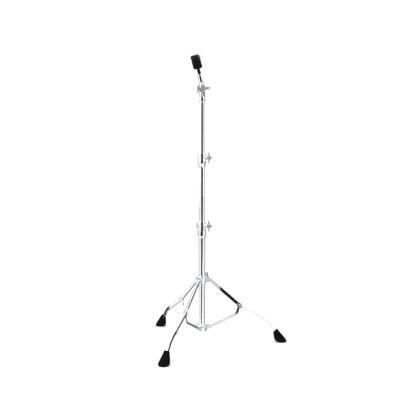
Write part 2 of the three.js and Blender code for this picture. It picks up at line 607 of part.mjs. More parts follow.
put(stack, 'cymbal_rod', turned([
  [0, ROD.s0], [ROD.r, ROD.s0], [ROD.r, ROD.s1 - 1.2], [2.8, ROD.s1], [0, ROD.s1],
], 14), zinc());
put(stack, 'rod_cone', turned([
  [ROD.r + GAP, CONE.s0], [CONE.r0 - 0.8, CONE.s0], [CONE.r0, CONE.s0 + 1], [CONE.r1, CONE.s1 - 1.4],
  [CONE.r1 - 1.4, CONE.s1], [ROD.r + GAP, CONE.s1], [ROD.r + GAP, CONE.s0],
]), chrome());
put(stack, 'cymbal_sleeve', turned([
  [SLEEVE.bore, SLEEVE.s0], [7, SLEEVE.s0], [7, SLEEVE.s0 + 2.6], [SLEEVE.r, SLEEVE.s0 + 3.4],
  [SLEEVE.r, SLEEVE.s1], [SLEEVE.bore, SLEEVE.s1], [SLEEVE.bore, SLEEVE.s0],
], 16), nylon());
put(stack, 'seat_washer', turned([
  [SLEEVE.r + GAP, SEAT.s0], [13.5, SEAT.s0], [17, SEAT.s0 + 1.4], [18.1, SEAT.s1],
  [SLEEVE.r + GAP, SEAT.s1], [SLEEVE.r + GAP, SEAT.s0],
], 40), blackPlastic());
const feltRing = (s) => turned([
  [FELT.bore, s], [FELT.r - 1.6, s], [FELT.r, s + 1.6], [FELT.r, s + FELT.h - 1.6], [FELT.r - 1.6, s + FELT.h],
  [FELT.bore, s + FELT.h], [FELT.bore, s],
]);
put(stack, 'lower_felt', feltRing(FELT1_S), felt());
put(stack, 'upper_felt', feltRing(FELT2_S), felt());

// push-button nut; its button faces away from the body's thick side
const nutGroup = new THREE.Group();
nutGroup.position.set(0, 0, NUT.s0);
nutGroup.rotation.z = deg(30);
stack.add(nutGroup);
const BUTTON = { half: 6, z0: 4.2, z1: 15.9, x0: 9.2, x1: 19.6, depth: 3.8 };
function nutSolid() {
  const body = turned([
    [0, 0], [NUT.r - 1, 0], [NUT.r, 1], [NUT.r, 7.8], [NUT.r - 0.9, 9], [NUT.r, 10.2], [NUT.r, NUT.h - 4.4],
    [NUT.r - 3, NUT.h - 0.6], [0, NUT.h],
  ]);
  // finger scoops front and back, sloping shoulder above the button
  const scoop = (y) => rodX(16, -30, 30, y, 21, 24);
  const shoulder = sidePlate([[1.5, 30], [16.2, 15.6], [30, 15.6], [30, 30]], 60);
  const pocket = block(BUTTON.x0 - BUTTON.depth, 30, -BUTTON.half - GAP, BUTTON.half + GAP, BUTTON.z0 - GAP, BUTTON.z1 + 4);
  return cut(
    body, scoop(28.5), scoop(-28.5), shoulder, pocket,
    rod(SLEEVE.r + 0.5, -1, 2.8, 16), rod(ROD.r + 0.35, -1, 20.4, 14),
  );
}
put(nutGroup, 'quick_release_body', nutSolid(), blackPlastic());
function buttonSolid() {
  const outline = [
    [BUTTON.x0, BUTTON.z0], [BUTTON.x1 - 1, BUTTON.z0], [BUTTON.x1, BUTTON.z0 + 1.2], [BUTTON.x1, BUTTON.z0 + 8.4],
    [15.4, BUTTON.z1 + 1.2], [13.6, BUTTON.z1 + 1.6], [BUTTON.x0, BUTTON.z1 + 1.6],
  ];
  return sidePlate(outline, 2 * BUTTON.half, 0.8);
}
put(nutGroup, 'quick_release_button', buttonSolid(), redPlastic());
// short coil spring behind the button
function springSolid() {
  class Coil extends THREE.Curve {
    getPoint(t, target = new THREE.Vector3()) {
      const turns = 2.25, r = 2.1;
      const a = 2 * Math.PI * turns * t;
      return target.set(5.95 + 2.5 * t, r * Math.cos(a), 10.2 + r * Math.sin(a));
    }
  }
  const section = new THREE.Shape([[0.3, 0], [0, 0.3], [-0.3, 0], [0, -0.3]].map(([x, y]) => new THREE.Vector2(x, y)));
  const g = new THREE.ExtrudeGeometry(section, { steps: 22, extrudePath: new Coil(), bevelEnabled: false });
  return toSolid(g);
}
put(nutGroup, 'button_spring', springSolid(), zinc());

export default stand;
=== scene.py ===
import math
import random
import bmesh
import bpy
import numpy as np
from mathutils import Matrix, Vector

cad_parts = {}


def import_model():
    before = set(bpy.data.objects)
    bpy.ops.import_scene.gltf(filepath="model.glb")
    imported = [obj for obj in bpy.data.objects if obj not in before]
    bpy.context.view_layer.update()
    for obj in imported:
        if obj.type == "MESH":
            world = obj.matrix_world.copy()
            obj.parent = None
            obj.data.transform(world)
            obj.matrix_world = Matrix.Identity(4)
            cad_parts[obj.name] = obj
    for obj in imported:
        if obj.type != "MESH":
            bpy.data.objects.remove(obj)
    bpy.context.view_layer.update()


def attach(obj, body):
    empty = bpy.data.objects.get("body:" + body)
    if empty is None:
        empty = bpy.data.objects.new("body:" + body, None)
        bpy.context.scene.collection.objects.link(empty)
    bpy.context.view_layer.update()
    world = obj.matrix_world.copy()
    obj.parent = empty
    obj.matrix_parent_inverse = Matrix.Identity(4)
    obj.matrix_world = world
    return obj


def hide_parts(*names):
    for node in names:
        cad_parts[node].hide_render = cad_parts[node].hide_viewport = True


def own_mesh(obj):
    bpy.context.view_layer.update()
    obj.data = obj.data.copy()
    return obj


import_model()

# ------------------------------------------------------------------ dimensions, mm
MAST_X = -83.58
FIT_TURN = -4.1
BASE_R, MID_R, TOP_R, WALL = 14.3, 12.7, 11.1, 1.2
PC, PQ, PH = (35.0, 269.0), (156.5, 161.5), (35.5, 71.5)
BOLT_Y = -20.0
TIL_Z, TIL_TURN, TIL_TILT, ROD_X = 1056.6, -61.1, 17.5, 8.6
SIDES = {"right": 0.0, "rear_left": 120.0, "front_left": 240.0}


def T(x=0, y=0, z=0):
    return Matrix.Translation((x, y, z))


def R(deg, axis):
    return Matrix.Rotation(math.radians(deg), 4, axis)


M_MAST = T(MAST_X)
M_FIT = M_MAST @ R(FIT_TURN, "Z")
M_SIDE = {k: M_MAST @ R(a, "Z") for k, a in SIDES.items()}
M_TIL = M_MAST @ T(0, 0, TIL_Z) @ R(TIL_TURN, "Z")
M_HEAD = M_TIL @ R(TIL_TILT, "X")
M_STACK = M_HEAD @ T(ROD_X)
M_NUT = M_STACK @ T(0, 0, 113.4) @ R(30, "Z")
# a shape made about +Z, laid along +X
LAY_X = R(90, "Y")
LAY_Y = R(-90, "X")


# ------------------------------------------------------------------ pieces from arrays
def piece(name, verts, faces, matrix, material, body, replaces=(), slot=None, smooth=True, sharp=None):
    """verts in local millimetres; they are kept as the point attribute lc for the materials"""
    verts = np.asarray(verts, dtype=float)
    m = np.array(matrix)
    world = verts @ m[:3, :3].T + m[:3, 3]
    me = bpy.data.meshes.new(name)
    me.from_pydata((world / 1000.0).tolist(), [], faces)
    me.validate()
    att = me.attributes.new("lc", "FLOAT_VECTOR", "POINT")
    if len(me.vertices) == len(verts):
        att.data.foreach_set("vector", verts.astype(np.float32).ravel())
    me.materials.append(material)
    if smooth:
        me.polygons.foreach_set("use_smooth", [True] * len(me.polygons))
    if sharp is not None:
        me.set_sharp_from_angle(angle=math.radians(sharp))
    me.update()
    o = bpy.data.objects.new(name, me)
    bpy.context.scene.collection.objects.link(o)
    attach(o, body)
    if replaces:
        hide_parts(*([replaces] if isinstance(replaces, str) else replaces))
    return o


def rounded(profile, seg=5):
    """[(r, z, corner radius)] to a dense profile with its corners rounded"""
    out = []
    n = len(profile)
    closed = profile[0][:2] == profile[-1][:2]
    pts = profile[:-1] if closed else profile
    n = len(pts)
    for i, p in enumerate(pts):
        rad = p[2] if len(p) > 2 else 0
        if rad <= 0 or (not closed and i in (0, n - 1)):
            out.append((p[0], p[1]))
            continue
        a = Vector(pts[i - 1][:2]); b = Vector(p[:2]); c = Vector(pts[(i + 1) % n][:2])
        u = (a - b); v = (c - b)
        lu, lv = u.length, v.length
        u.normalize(); v.normalize()
        cosang = max(-0.9999, min(0.9999, u.dot(v)))
        half = math.acos(cosang) / 2
        t = min(rad / math.tan(half), lu * 0.49, lv * 0.49)
        r = t * math.tan(half)
        centre = b + (u + v).normalized() * (r / math.sin(half))
        p0 = b + u * t - centre
        p1 = b + v * t - centre
        ang = p0.angle_signed(p1) if p0.length > 1e-9 and p1.length > 1e-9 else 0
        for k in range(seg + 1):
            w = -ang * k / seg
            q = Vector((p0.x * math.cos(w) - p0.y * math.sin(w), p0.x * math.sin(w) + p0.y * math.cos(w))) + centre
            out.append((q.x, q.y))
    if closed:
        out.append(out[0])
    return out


def lathe(profile, seg=72, a0=0.0, a1=360.0):
    """profile [(r, z)] turned about Z; closed if its ends meet or lie on the axis"""
    full = abs(a1 - a0) >= 359.99
    closed = abs(profile[0][0] - profile[-1][0]) < 1e-9 and abs(profile[0][1] - profile[-1][1]) < 1e-9
    pts = profile[:-1] if closed else profile
    n = len(pts)
    steps = seg if full else seg + 1
    verts, index = [], {}
    for i in range(steps):
        a = math.radians(a0 + (a1 - a0) * i / seg)
        for j, (r, z) in enumerate(pts):
            if r < 1e-6:
                if ("axis", j) not in index:
                    index[("axis", j)] = len(verts)
                    verts.append((0, 0, z))
                index[(i, j)] = index[("axis", j)]
            else:
                index[(i, j)] = len(verts)
                verts.append((r * math.cos(a), r * math.sin(a), z))
    faces = []
    for i in range(seg):
        k = (i + 1) % steps if full else i + 1
        for j in range(n if closed else n - 1):
            q = [index[(i, j)], index[(k, j)], index[(k, (j + 1) % n)], index[(i, (j + 1) % n)]]
            q2 = []
            for v in q:
                if v not in q2:
                    q2.append(v)
            if len(q2) >= 3:
                faces.append(q2)
    if not full:
        faces.append([index[(0, j)] for j in range(n)][::-1])
        faces.append([index[(steps - 1, j)] for j in range(n)])
    v = np.array(verts, float)
    # outward facing check by signed volume
    vol = 0.0
    for f in faces:
        for t in range(1, len(f) - 1):
            vol += np.dot(v[f[0]], np.cross(v[f[t]], v[f[t + 1]]))
    if vol < 0:
        faces = [f[::-1] for f in faces]
    return v, faces


def sweep(stations, caps=True):
    """stations: equal closed rings of points [(x, y, z)]"""
    n = len(stations[0])
    verts = [p for s in stations for p in s]
    faces = []
    for i in range(len(stations) - 1):
        for k in range(n):
            a = i * n + k
            b = i * n + (k + 1) % n
            faces.append([a, b, b + n, a + n])
    if caps:
        faces.append(list(range(n))[::-1])
        faces.append([len(verts) - n + k for k in range(n)])
    v = np.array(verts, float)
    vol = 0.0
    for f in faces:
        for t in range(1, len(f) - 1):
            vol += np.dot(v[f[0]], np.cross(v[f[t]], v[f[t + 1]]))
    if vol < 0:
        faces = [f[::-1] for f in faces]
    return v, faces


# ------------------------------------------------------------------ castings from distance fields
def smin(a, b, k):
    h = np.maximum(k - np.abs(a - b), 0.0) / k
    return np.minimum(a, b) - h * h * k * 0.25


def smax(a, b, k):
    return -smin(-a, -b, k)


def poly2(px, py, pts):
    """signed distance to a closed polygon"""
    pts = np.asarray(pts, float)
    n = len(pts)
    d = np.full(px.shape, 1e18)
    s = np.ones(px.shape)
    j = n - 1
    for i in range(n):
        ex, ey = pts[j] - pts[i]
        wx = px - pts[i][0]
        wy = py - pts[i][1]
        t = np.clip((wx * ex + wy * ey) / (ex * ex + ey * ey), 0, 1)
        bx = wx - ex * t
        by = wy - ey * t
        d = np.minimum(d, bx * bx + by * by)
        c1 = py >= pts[i][1]
        c2 = py < pts[j][1]
        c3 = ex * wy > ey * wx
        flip = (c1 & c2 & c3) | (~c1 & ~c2 & ~c3)
        s = np.where(flip, -s, s)
        j = i
    return s * np.sqrt(d)


def slab(d2, u, u0, u1, rnd=0.0):
    """a flat distance d2 raised between u0 and u1, with edges rounded by rnd"""
    dz = np.abs(u - (u0 + u1) / 2) - (u1 - u0) / 2 + rnd
    d2 = d2 + rnd
    return np.minimum(np.maximum(d2, dz), 0) + np.hypot(np.maximum(d2, 0), np.maximum(dz, 0)) - rnd


def cyl(u, v, w, r, w0, w1, rnd=0.0):
    return slab(np.hypot(u, v) - r, w, w0, w1, rnd)


def turn(x, y, deg):
    c, s = math.cos(math.radians(deg)), math.sin(math.radians(deg))
    return x * c + y * s, -x * s + y * c


def surface(f, lo, hi, h, steps=4):
    """closed quad mesh of f = 0 inside the box, each vertex moved onto the surface"""
    lo = np.asarray(lo, float)
    hi = np.asarray(hi, float)
    n = np.ceil((hi - lo) / h).astype(int) + 1
    ax = [lo[i] + h * np.arange(n[i]) for i in range(3)]
    X, Y, Z = np.meshgrid(*ax, indexing="ij")
    V = f(X, Y, Z)
    V = np.where(np.abs(V) < 1e-9, 1e-9, V)
    acc = np.zeros(tuple(n - 1) + (3,))
    cnt = np.zeros(tuple(n - 1))
    quads = []
    for a in range(3):
        s0 = [slice(None)] * 3
        s1 = [slice(None)] * 3
        s0[a] = slice(0, -1)
        s1[a] = slice(1, None)
        va, vb = V[tuple(s0)], V[tuple(s1)]
        idx = np.argwhere((va < 0) != (vb < 0))
        o1, o2 = [(1, 2), (2, 0), (0, 1)][a]
        ok = (idx[:, o1] > 0) & (idx[:, o1] < n[o1] - 1) & (idx[:, o2] > 0) & (idx[:, o2] < n[o2] - 1)
        idx = idx[ok]
        p0, p1 = va[tuple(idx.T)], vb[tuple(idx.T)]
        t = p0 / (p0 - p1)
        p = idx.astype(float)
        p[:, a] += t
        four = []
        for d1, d2 in ((0, 0), (-1, 0), (-1, -1), (0, -1)):
            c = idx.copy()
            c[:, o1] += d1
            c[:, o2] += d2
            key = np.ravel_multi_index(tuple(c.T), tuple(n - 1))
            for k in range(3):
                acc[..., k] += np.bincount(key, p[:, k], minlength=cnt.size).reshape(cnt.shape)
            cnt += np.bincount(key, minlength=cnt.size).reshape(cnt.shape)
            four.append(key)
        q = np.stack(four, 1)
        neg = p0 > 0
        q[neg] = q[neg][:, ::-1]
        quads.append(q)
    used = np.flatnonzero(cnt.ravel())
    pos = acc.reshape(-1, 3)[used] / cnt.ravel()[used][:, None] * h + lo
    new = np.full(cnt.size, -1)
    new[used] = np.arange(len(used))
    quads = new[np.concatenate(quads)]
    e = 1e-3
    home = pos.copy()
    for _ in range(steps):
        d = f(pos[:, 0], pos[:, 1], pos[:, 2])
        g = np.stack([
            f(pos[:, 0] + e, pos[:, 1], pos[:, 2]) - f(pos[:, 0] - e, pos[:, 1], pos[:, 2]),
            f(pos[:, 0], pos[:, 1] + e, pos[:, 2]) - f(pos[:, 0], pos[:, 1] - e, pos[:, 2]),
            f(pos[:, 0], pos[:, 1], pos[:, 2] + e) - f(pos[:, 0], pos[:, 1], pos[:, 2] - e)], 1) / (2 * e)
        g2 = np.maximum((g * g).sum(1), 0.05)
        move = -g * (d / g2)[:, None]
        pos = pos + np.clip(move, -0.3 * h, 0.3 * h)
        pos = home + np.clip(pos - home, -0.6 * h, 0.6 * h)
    return pos, quads.tolist()


# ------------------------------------------------------------------ materials
def nodes_of(name):
    m = bpy.data.materials.new(name)
    m.use_nodes = True
    nt = m.node_tree
    bsdf = nt.nodes["Principled BSDF"]
    return m, nt, bsdf


def add(nt, kind, **values):
    nd = nt.nodes.new(kind)
    for k, v in values.items():
        if k in nd.inputs:
            nd.inputs[k].default_value = v
        else:
            setattr(nd, k, v)
    return nd


def local(nt, scale=(1, 1, 1)):
    at = add(nt, "ShaderNodeAttribute", attribute_name="lc")
    mp = add(nt, "ShaderNodeMapping")
    mp.inputs["Scale"].default_value = scale
    nt.links.new(at.outputs["Vector"], mp.inputs["Vector"])
    return mp.outputs["Vector"]


def noise(nt, vec, scale, detail=4, rough=0.55, distortion=0.0):
    nd = add(nt, "ShaderNodeTexNoise")
    nd.inputs["Scale"].default_value = scale
    nd.inputs["Detail"].default_value = detail
    nd.inputs["Roughness"].default_value = rough
    nd.inputs["Distortion"].default_value = distortion
    nt.links.new(vec, nd.inputs["Vector"])
    return nd.outputs["Fac"]


def ramp(nt, fac, stops):
    nd = add(nt, "ShaderNodeValToRGB")
    el = nd.color_ramp.elements
    while len(el) < len(stops):
        el.new(0.5)
    for e, (p, c) in zip(el, stops):
        e.position = p
        e.color = (c, c, c, 1) if isinstance(c, (int, float)) else (*c, 1)
    nt.links.new(fac, nd.inputs["Fac"])
    return nd.outputs["Color"]


def bump(nt, bsdf, height, strength, distance, after=None):
    nd = add(nt, "ShaderNodeBump")
    nd.inputs["Strength"].default_value = strength
    nd.inputs["Distance"].default_value = distance
    nt.links.new(height, nd.inputs["Height"])
    if after is not None:
        nt.links.new(after, nd.inputs["Normal"])
    nt.links.new(nd.outputs["Normal"], bsdf.inputs["Normal"])
    return nd.outputs["Normal"]


def metal(name, lo, hi, rough_lo, rough_hi, stretch=(1, 1, 1), waviness=0.0, scratch=0.0, grain=0.0):
    m, nt, b = nodes_of(name)
    b.inputs["Metallic"].default_value = 1.0
    v = local(nt)
    cloud = noise(nt, v, 0.055, 3)
    nt.links.new(ramp(nt, cloud, [(0.3, lo), (0.7, hi)]), b.inputs["Base Color"])
    smudge = noise(nt, v, 0.11, 6, 0.62, 0.6)
    lines = noise(nt, local(nt, stretch), 1.0, 3, 0.5)
    mix = add(nt, "ShaderNodeMath", operation="MULTIPLY_ADD")
    nt.links.new(lines, mix.inputs[0])
    mix.inputs[1].default_value = 0.45
    nt.links.new(smudge, mix.inputs[2])
    nt.links.new(ramp(nt, mix.outputs[0], [(0.45, rough_lo), (0.95, rough_hi)]), b.inputs["Roughness"])
    last = None
    if waviness:
        last = bump(nt, b, noise(nt, v, 0.12, 2, 0.4), waviness, 0.0006)
    if scratch:
        last = bump(nt, b, ramp(nt, noise(nt, local(nt, stretch), 2.4, 2, 0.6), [(0.40, 0.0), (0.62, 1.0)]), scratch, 0.00002, last)
    if grain:
        bump(nt, b, noise(nt, v, 3.2, 3, 0.6), grain, 0.00004, last)
    return m


CHROME_TUBE = metal("chrome_tube", (0.80, 0.81, 0.825), (0.86, 0.865, 0.875), 0.012, 0.04, (1.6, 1.6, 0.03))
CHROME_PRESS = metal("chrome_pressing", (0.78, 0.79, 0.805), (0.84, 0.845, 0.855), 0.006, 0.022, (0.05, 1.4, 0.05))
CHROME_CAST = metal("chrome_casting", (0.74, 0.75, 0.765), (0.82, 0.825, 0.835), 0.03, 0.09, (0.6, 0.6, 0.6), 0.05, 0.0, 0.05)
CHROME_TILT = metal("grey_casting", (0.34, 0.345, 0.35), (0.46, 0.465, 0.47), 0.08, 0.18, (0.6, 0.6, 0.6), 0.05, 0.0, 0.20)
CHROME_WING = metal("satin_casting", (0.27, 0.275, 0.28), (0.40, 0.405, 0.41), 0.16, 0.30, (0.6, 0.6, 0.6), 0.05, 0.0, 0.25)
# steel darkened as painted shade: the clamp studs cross the dark clamp slots and get it so the slots stay dark
SLOT_SHADE_STEEL = metal("steel_painted_slot_shade", (0.07, 0.071, 0.073), (0.13, 0.131, 0.134), 0.20, 0.36, (1.5, 1.5, 1.5), 0.0, 0.25, 0.15)
ZINC = metal("bright_steel", (0.58, 0.59, 0.60), (0.70, 0.70, 0.70), 0.20, 0.38, (1.5, 1.5, 1.5), 0.0, 0.25, 0.15)


def soft_black(name, lo, hi, r0, r1, grain_scale, grain, blotch=0.06, coat=0.0, spec=0.5):
    m, nt, b = nodes_of(name)
    v = local(nt)
    nt.links.new(ramp(nt, noise(nt, v, blotch, 5, 0.6), [(0.35, lo), (0.7, hi)]), b.inputs["Base Color"])
    nt.links.new(ramp(nt, noise(nt, v, blotch * 3, 5, 0.6, 0.4), [(0.3, r0), (0.75, r1)]), b.inputs["Roughness"])
    b.inputs["Specular IOR Level"].default_value = spec
    b.inputs["Coat Weight"].default_value = coat
    b.inputs["Coat Roughness"].default_value = 0.15
    bump(nt, b, noise(nt, v, grain_scale, 4, 0.6), grain, 0.00008)
    return m


RUBBER = soft_black("black_rubber", (0.0022, 0.0022, 0.0024), (0.0060, 0.0060, 0.0063), 0.5, 0.75, 2.2, 0.35, 0.08, 0.0, 0.04)
NYLON = soft_black("black_nylon", (0.002, 0.002, 0.0022), (0.0045, 0.0045, 0.0048), 0.32, 0.5, 3.0, 0.12, 0.09, 0.0, 0.05)
PLASTIC = soft_black("black_plastic", (0.002, 0.002, 0.0022), (0.0045, 0.0045, 0.0048), 0.2, 0.34, 4.5, 0.10, 0.07, 0.0, 0.10)
RED = soft_black("red_plastic", (0.14, 0.008, 0.022), (0.20, 0.013, 0.034), 0.25, 0.4, 4.5, 0.10, 0.1, 0.0, 0.20)


def felt_material():
    m, nt, b = nodes_of("felt")
    v = local(nt)
    fibre = noise(nt, v, 1.7, 8, 0.72, 2.2)
    nt.links.new(ramp(nt, fibre, [(0.30, (0.0015, 0.0015, 0.0016)), (0.62, (0.0065, 0.0065, 0.0068)), (0.86, (0.020, 0.020, 0.0205))]),
                 b.inputs["Base Color"])
    b.inputs["Roughness"].default_value = 0.95
    b.inputs["Specular IOR Level"].default_value = 0.05
    b.inputs["Sheen Weight"].default_value = 0.03
    b.inputs["Sheen Roughness"].default_value = 0.6
    first = bump(nt, b, noise(nt, v, 0.6, 5, 0.65, 1.2), 0.5, 0.0005)
    bump(nt, b, fibre, 0.8, 0.0004, first)
    return m


FELT = felt_material()

# ------------------------------------------------------------------ tubes
def tube(name, r, z0, z1, body):
    p = rounded([(r - WALL, z0, 0.3), (r, z0, 0.35), (r, z1, 0.35), (r - WALL, z1, 0.3), (r - WALL, z0, 0.3)], 3)
    # long walls split along their height
    out = []
    for i in range(len(p) - 1):
        (ra, za), (rb, zb) = p[i], p[i + 1]
        k = max(1, int(abs(zb - za) / 24))
        out += [(ra + (rb - ra) * t / k, za + (zb - za) * t / k) for t in range(k)]
    out.append(out[0])
    v, f = lathe(out, 96)
    return piece(name + "_shell", v, f, M_MAST, CHROME_TUBE, body, name, "chrome_tube", sharp=40)


tube("base_tube", BASE_R, 56.6, 492, "base")
tube("middle_tube", MID_R, 300, 770, "middle_section")
tube("top_tube", TOP_R, 600, 1024, "top_section")


def simple(name, profile, matrix, material, body, slot, seg=64, a0=0, a1=360, sharp=35, rs=4):
    v, f = lathe(rounded(profile, rs), seg, a0, a1)
    return piece(name + "_shell", v, f, matrix, material, body, name, slot, sharp=sharp)


simple("base_tube_plug", [(0, 57.6), (12.7, 57.6, 0.8), (12.7, 70, 0.4), (11.3, 70, 0.3), (11.3, 60.6, 0.5), (0, 60.6)],
       M_MAST, RUBBER, "base", "black_rubber")
for nm, t, z0, body in (("middle_tube_guide", MID_R, 300, "middle_guide"), ("top_tube_guide", TOP_R, 600, "top_guide")):
    a = t - WALL - 2.3
    simple(nm, [(a, z0 - 6, 0.4), (t + 0.05, z0 - 6, 0.6), (t + 0.05, z0 - 0.3, 0.2), (t - WALL - 0.35, z0 - 0.3),
                (t - WALL - 0.35, z0 + 14, 0.5), (a, z0 + 14, 0.4), (a, z0 - 6, 0.4)], M_MAST, NYLON, body, "black_nylon")
simple("leg_collar_liner", [(14.6, 258.6, 0.3), (16.2, 258.6, 0.3), (16.2, 287.4, 0.3), (14.6, 287.4, 0.3), (14.6, 258.6, 0.3)],
       M_MAST, NYLON, "collar", "black_nylon", 80)


# ------------------------------------------------------------------ hub and collar
def ear2(u, z, r0, c, rad, z0, z1):
    """fork ear outline: a straight root and a round end"""
    straight = np.maximum(np.maximum(r0 - u, u - c[0]), np.maximum(z0 - z, z - z1))
    pts = [(r0, z0)] + [(c[0] + rad * math.cos(a), c[1] + rad * math.sin(a)) for a in np.linspace(-math.pi / 2, math.pi / 2, 25)] + [(r0, z1)]
    return poly2(u, z, pts)


def hub_field(X, Y, Z):
    rho = np.hypot(X, Y)
    body = poly2(rho, Z, [(5, 53.7), (19.4, 53.7), (21, 55.3), (21, 72), (18.2, 76.6), (16.6, 81.5), (5, 81.5)])
    body = smax(body, -(Z - 53.7 - 0.0) - 60, 0.5)
    d = body
    for a in SIDES.values():
        u, w = turn(X, Y, a)
        e = ear2(u, Z, 15.5, PH, 7.4, 59.6, 79)
        plate = slab(e, np.abs(w), 4.08, 6.6, 0.55)
        d = smin(d, plate, 2.2)
        head = slab(np.hypot(u - PH[0], Z - PH[1]) - 4.0, np.abs(w), 5.0, 7.9, 0.9)
        d = smin(d, head, 0.35)
        # keep the slot between the ears open
        d = smax(d, -slab(np.maximum(np.abs(Z - 69.5) - 14, 21.6 - u), w, -4.08, 4.08, 0.3), 0.5)
    # set screw seat
    u, w = turn(X, Y, 60)
    seat = cyl(w, Z - 66, u, 5.4, 15, 21.6, 0.6)
    d = smin(d, seat, 1.4)
    d = smax(d, -cyl(w, Z - 66, u, 3.2, 12, 40), 0.5)
    d = smax(d, -(slab(rho - 14.6, Z, 56.2, 120)), 0.5)
    d = smax(d, -(slab(rho - 11.6, Z, 40, 80)), 0.6)
    return d


def collar_field(X, Y, Z):
    rho = np.hypot(X, Y)
    d = poly2(rho, Z, [(5, 258), (19.4, 258), (20, 259.2), (20, 284), (17.8, 288), (5, 288)])
    d = d - 0.0
    for a in SIDES.values():
        u, w = turn(X, Y, a)
        e = ear2(u, Z, 16.5, PC, 8, 260.5, 280)
        plate = slab(e, np.abs(w), 5.38, 7.82, 0.55)
        d = smin(d, plate, 2.2)
        d = smax(d, -slab(np.maximum(np.abs(Z - 271) - 20, 20.6 - u), w, -5.38, 5.38, 0.3), 0.5)
    u, w = turn(X, Y, 60)
    boss = cyl(w, Z - 273, u, 8.1, 12, 27, 0.9)
    d = smin(d, boss, 2.4)
    d = smax(d, -cyl(w, Z - 273, u, 3.4, 12, 40), 0.5)
    d = smax(d, -(rho - 16.45), 0.5)
    return d


def casting(name, field, lo, hi, h, matrix, body, material=None, slot="chrome_casting", node=None):
    v, f = surface(field, lo, hi, h)
    return piece((node or name) + "_shell", v, f, matrix, material or CHROME_CAST, body, node or name, slot)


casting("lower_hub", hub_field, (-46, -46, 52), (46, 46, 83), 0.62, M_MAST, "base")
casting("leg_collar", collar_field, (-46, -46, 256.5), (46, 46, 289.5), 0.62, M_MAST, "collar")


# ------------------------------------------------------------------ wing nuts
def wing_plate(X, Y):
    """outline of the wings: waist at the hub, a lobe at each end, a slot in each lobe"""
    ax = np.abs(X)
    pts = [(-1, -8.6), (0, -8.6), (4, -7.9), (8, -6.4), (11, -5.2), (13.2, -5.0)]
    pts += [(16.7 + 5.5 * math.cos(a), 5.5 * math.sin(a)) for a in np.linspace(-1.9, 1.9, 25)]
    pts += [(13.2, 5.0), (11, 5.2), (8, 6.4), (4, 7.9), (0, 8.6), (-1, 8.6)]
    d = poly2(ax, Y, pts)
    slot = np.hypot(np.maximum(np.abs(ax - 16.4) - 1.2, 0), Y) - 2.1
    return d, slot


def wing_field(bore, depth, shank=None):
    def f(X, Y, Z):
        rho = np.hypot(X, Y)
        hub = poly2(rho, Z, [(-20, 0), (8, 0), (8, 2.4), (7.2, 3.6), (7.6, 9.8), (6.9, 12), (6.0, 14.6), (4.4, 17.0), (2.3, 18.25), (0, 18.6), (-20, 18.6)])
        hub = hub - 0.0
        out, slot = wing_plate(X, Y)
        wing = slab(out, Z, 4.3, 9.5, 1.5)
        d = smin(hub, wing, 2.4)
        d = smax(d, -slot, 1.1)
        if bore:
            d = smax(d, -cyl(X, Y, Z, bore, -5, depth), 0.5)
        if shank:
            d = smin(d, cyl(X, Y, Z, 2.9, shank, 3, 0.5), 0.6)
        return d
    return f


def slim_field(X, Y, Z):
    """lighter wing nut of the tilter, with a round hole in each wing"""
    rho = np.hypot(X, Y)
    hub = poly2(rho, Z, [(-20, 0), (7.0, 0), (7.0, 2.0), (5.6, 3.6), (5.0, 9.6), (4.4, 11.6), (2.8, 12.5), (0, 12.8), (-20, 12.8)])
    ax = np.abs(X)
    pts = [(-1, -5.2), (4, -5.0), (9, -4.4), (12, -4.3)] + [(16.7 + 5.4 * math.cos(a), 5.4 * math.sin(a)) for a in np.linspace(-2.0, 2.0, 25)]
    pts += [(12, 4.3), (9, 4.4), (4, 5.0), (-1, 5.2)]
    wing = slab(poly2(ax, Y, pts), Z, 5.4, 8.4, 1.2)
    d = smin(hub, wing, 1.6)
    d = smax(d, -(np.hypot(ax - 16.6, Y) - 3.1), 0.7)
    return smax(d, -cyl(X, Y, Z, 3.4, -5, 11.6), 0.4)


SLIM_MESH = surface(slim_field, (-24, -9, -1.2), (24, 9, 18.8), 0.45)
NUT_MESH = surface(wing_field(3.4, 12.4), (-24, -11, -1.2), (24, 11, 19.8), 0.5)
for node, mtx, body in (
        ("base_clamp_wing_nut", M_FIT @ T(21, BOLT_Y, 497.2) @ LAY_X, "base_wing"),
        ("middle_clamp_wing_nut", M_FIT @ T(21, BOLT_Y, 776.6) @ LAY_X, "middle_wing"),
        ("tilter_wing_nut", M_TIL @ T(20.7) @ R(90, "X") @ LAY_X, "tilter_wing")):
    piece(node + "_shell", *(SLIM_MESH if body == "tilter_wing" else NUT_MESH), mtx, CHROME_WING, body, node, "chrome_casting")
M_CW = M_MAST @ R(60, "Z") @ T(0, 0, 273) @ LAY_X @ T(0, 0, 38.6)
v, f = surface(wing_field(0, 0, -21.6), (-24, -11, -22.8), (24, 11, 19.8), 0.5)
piece("leg_collar_wing_bolt_shell", v, f, M_CW, CHROME_WING, "collar_screw", "leg_collar_wing_bolt", "chrome_casting")


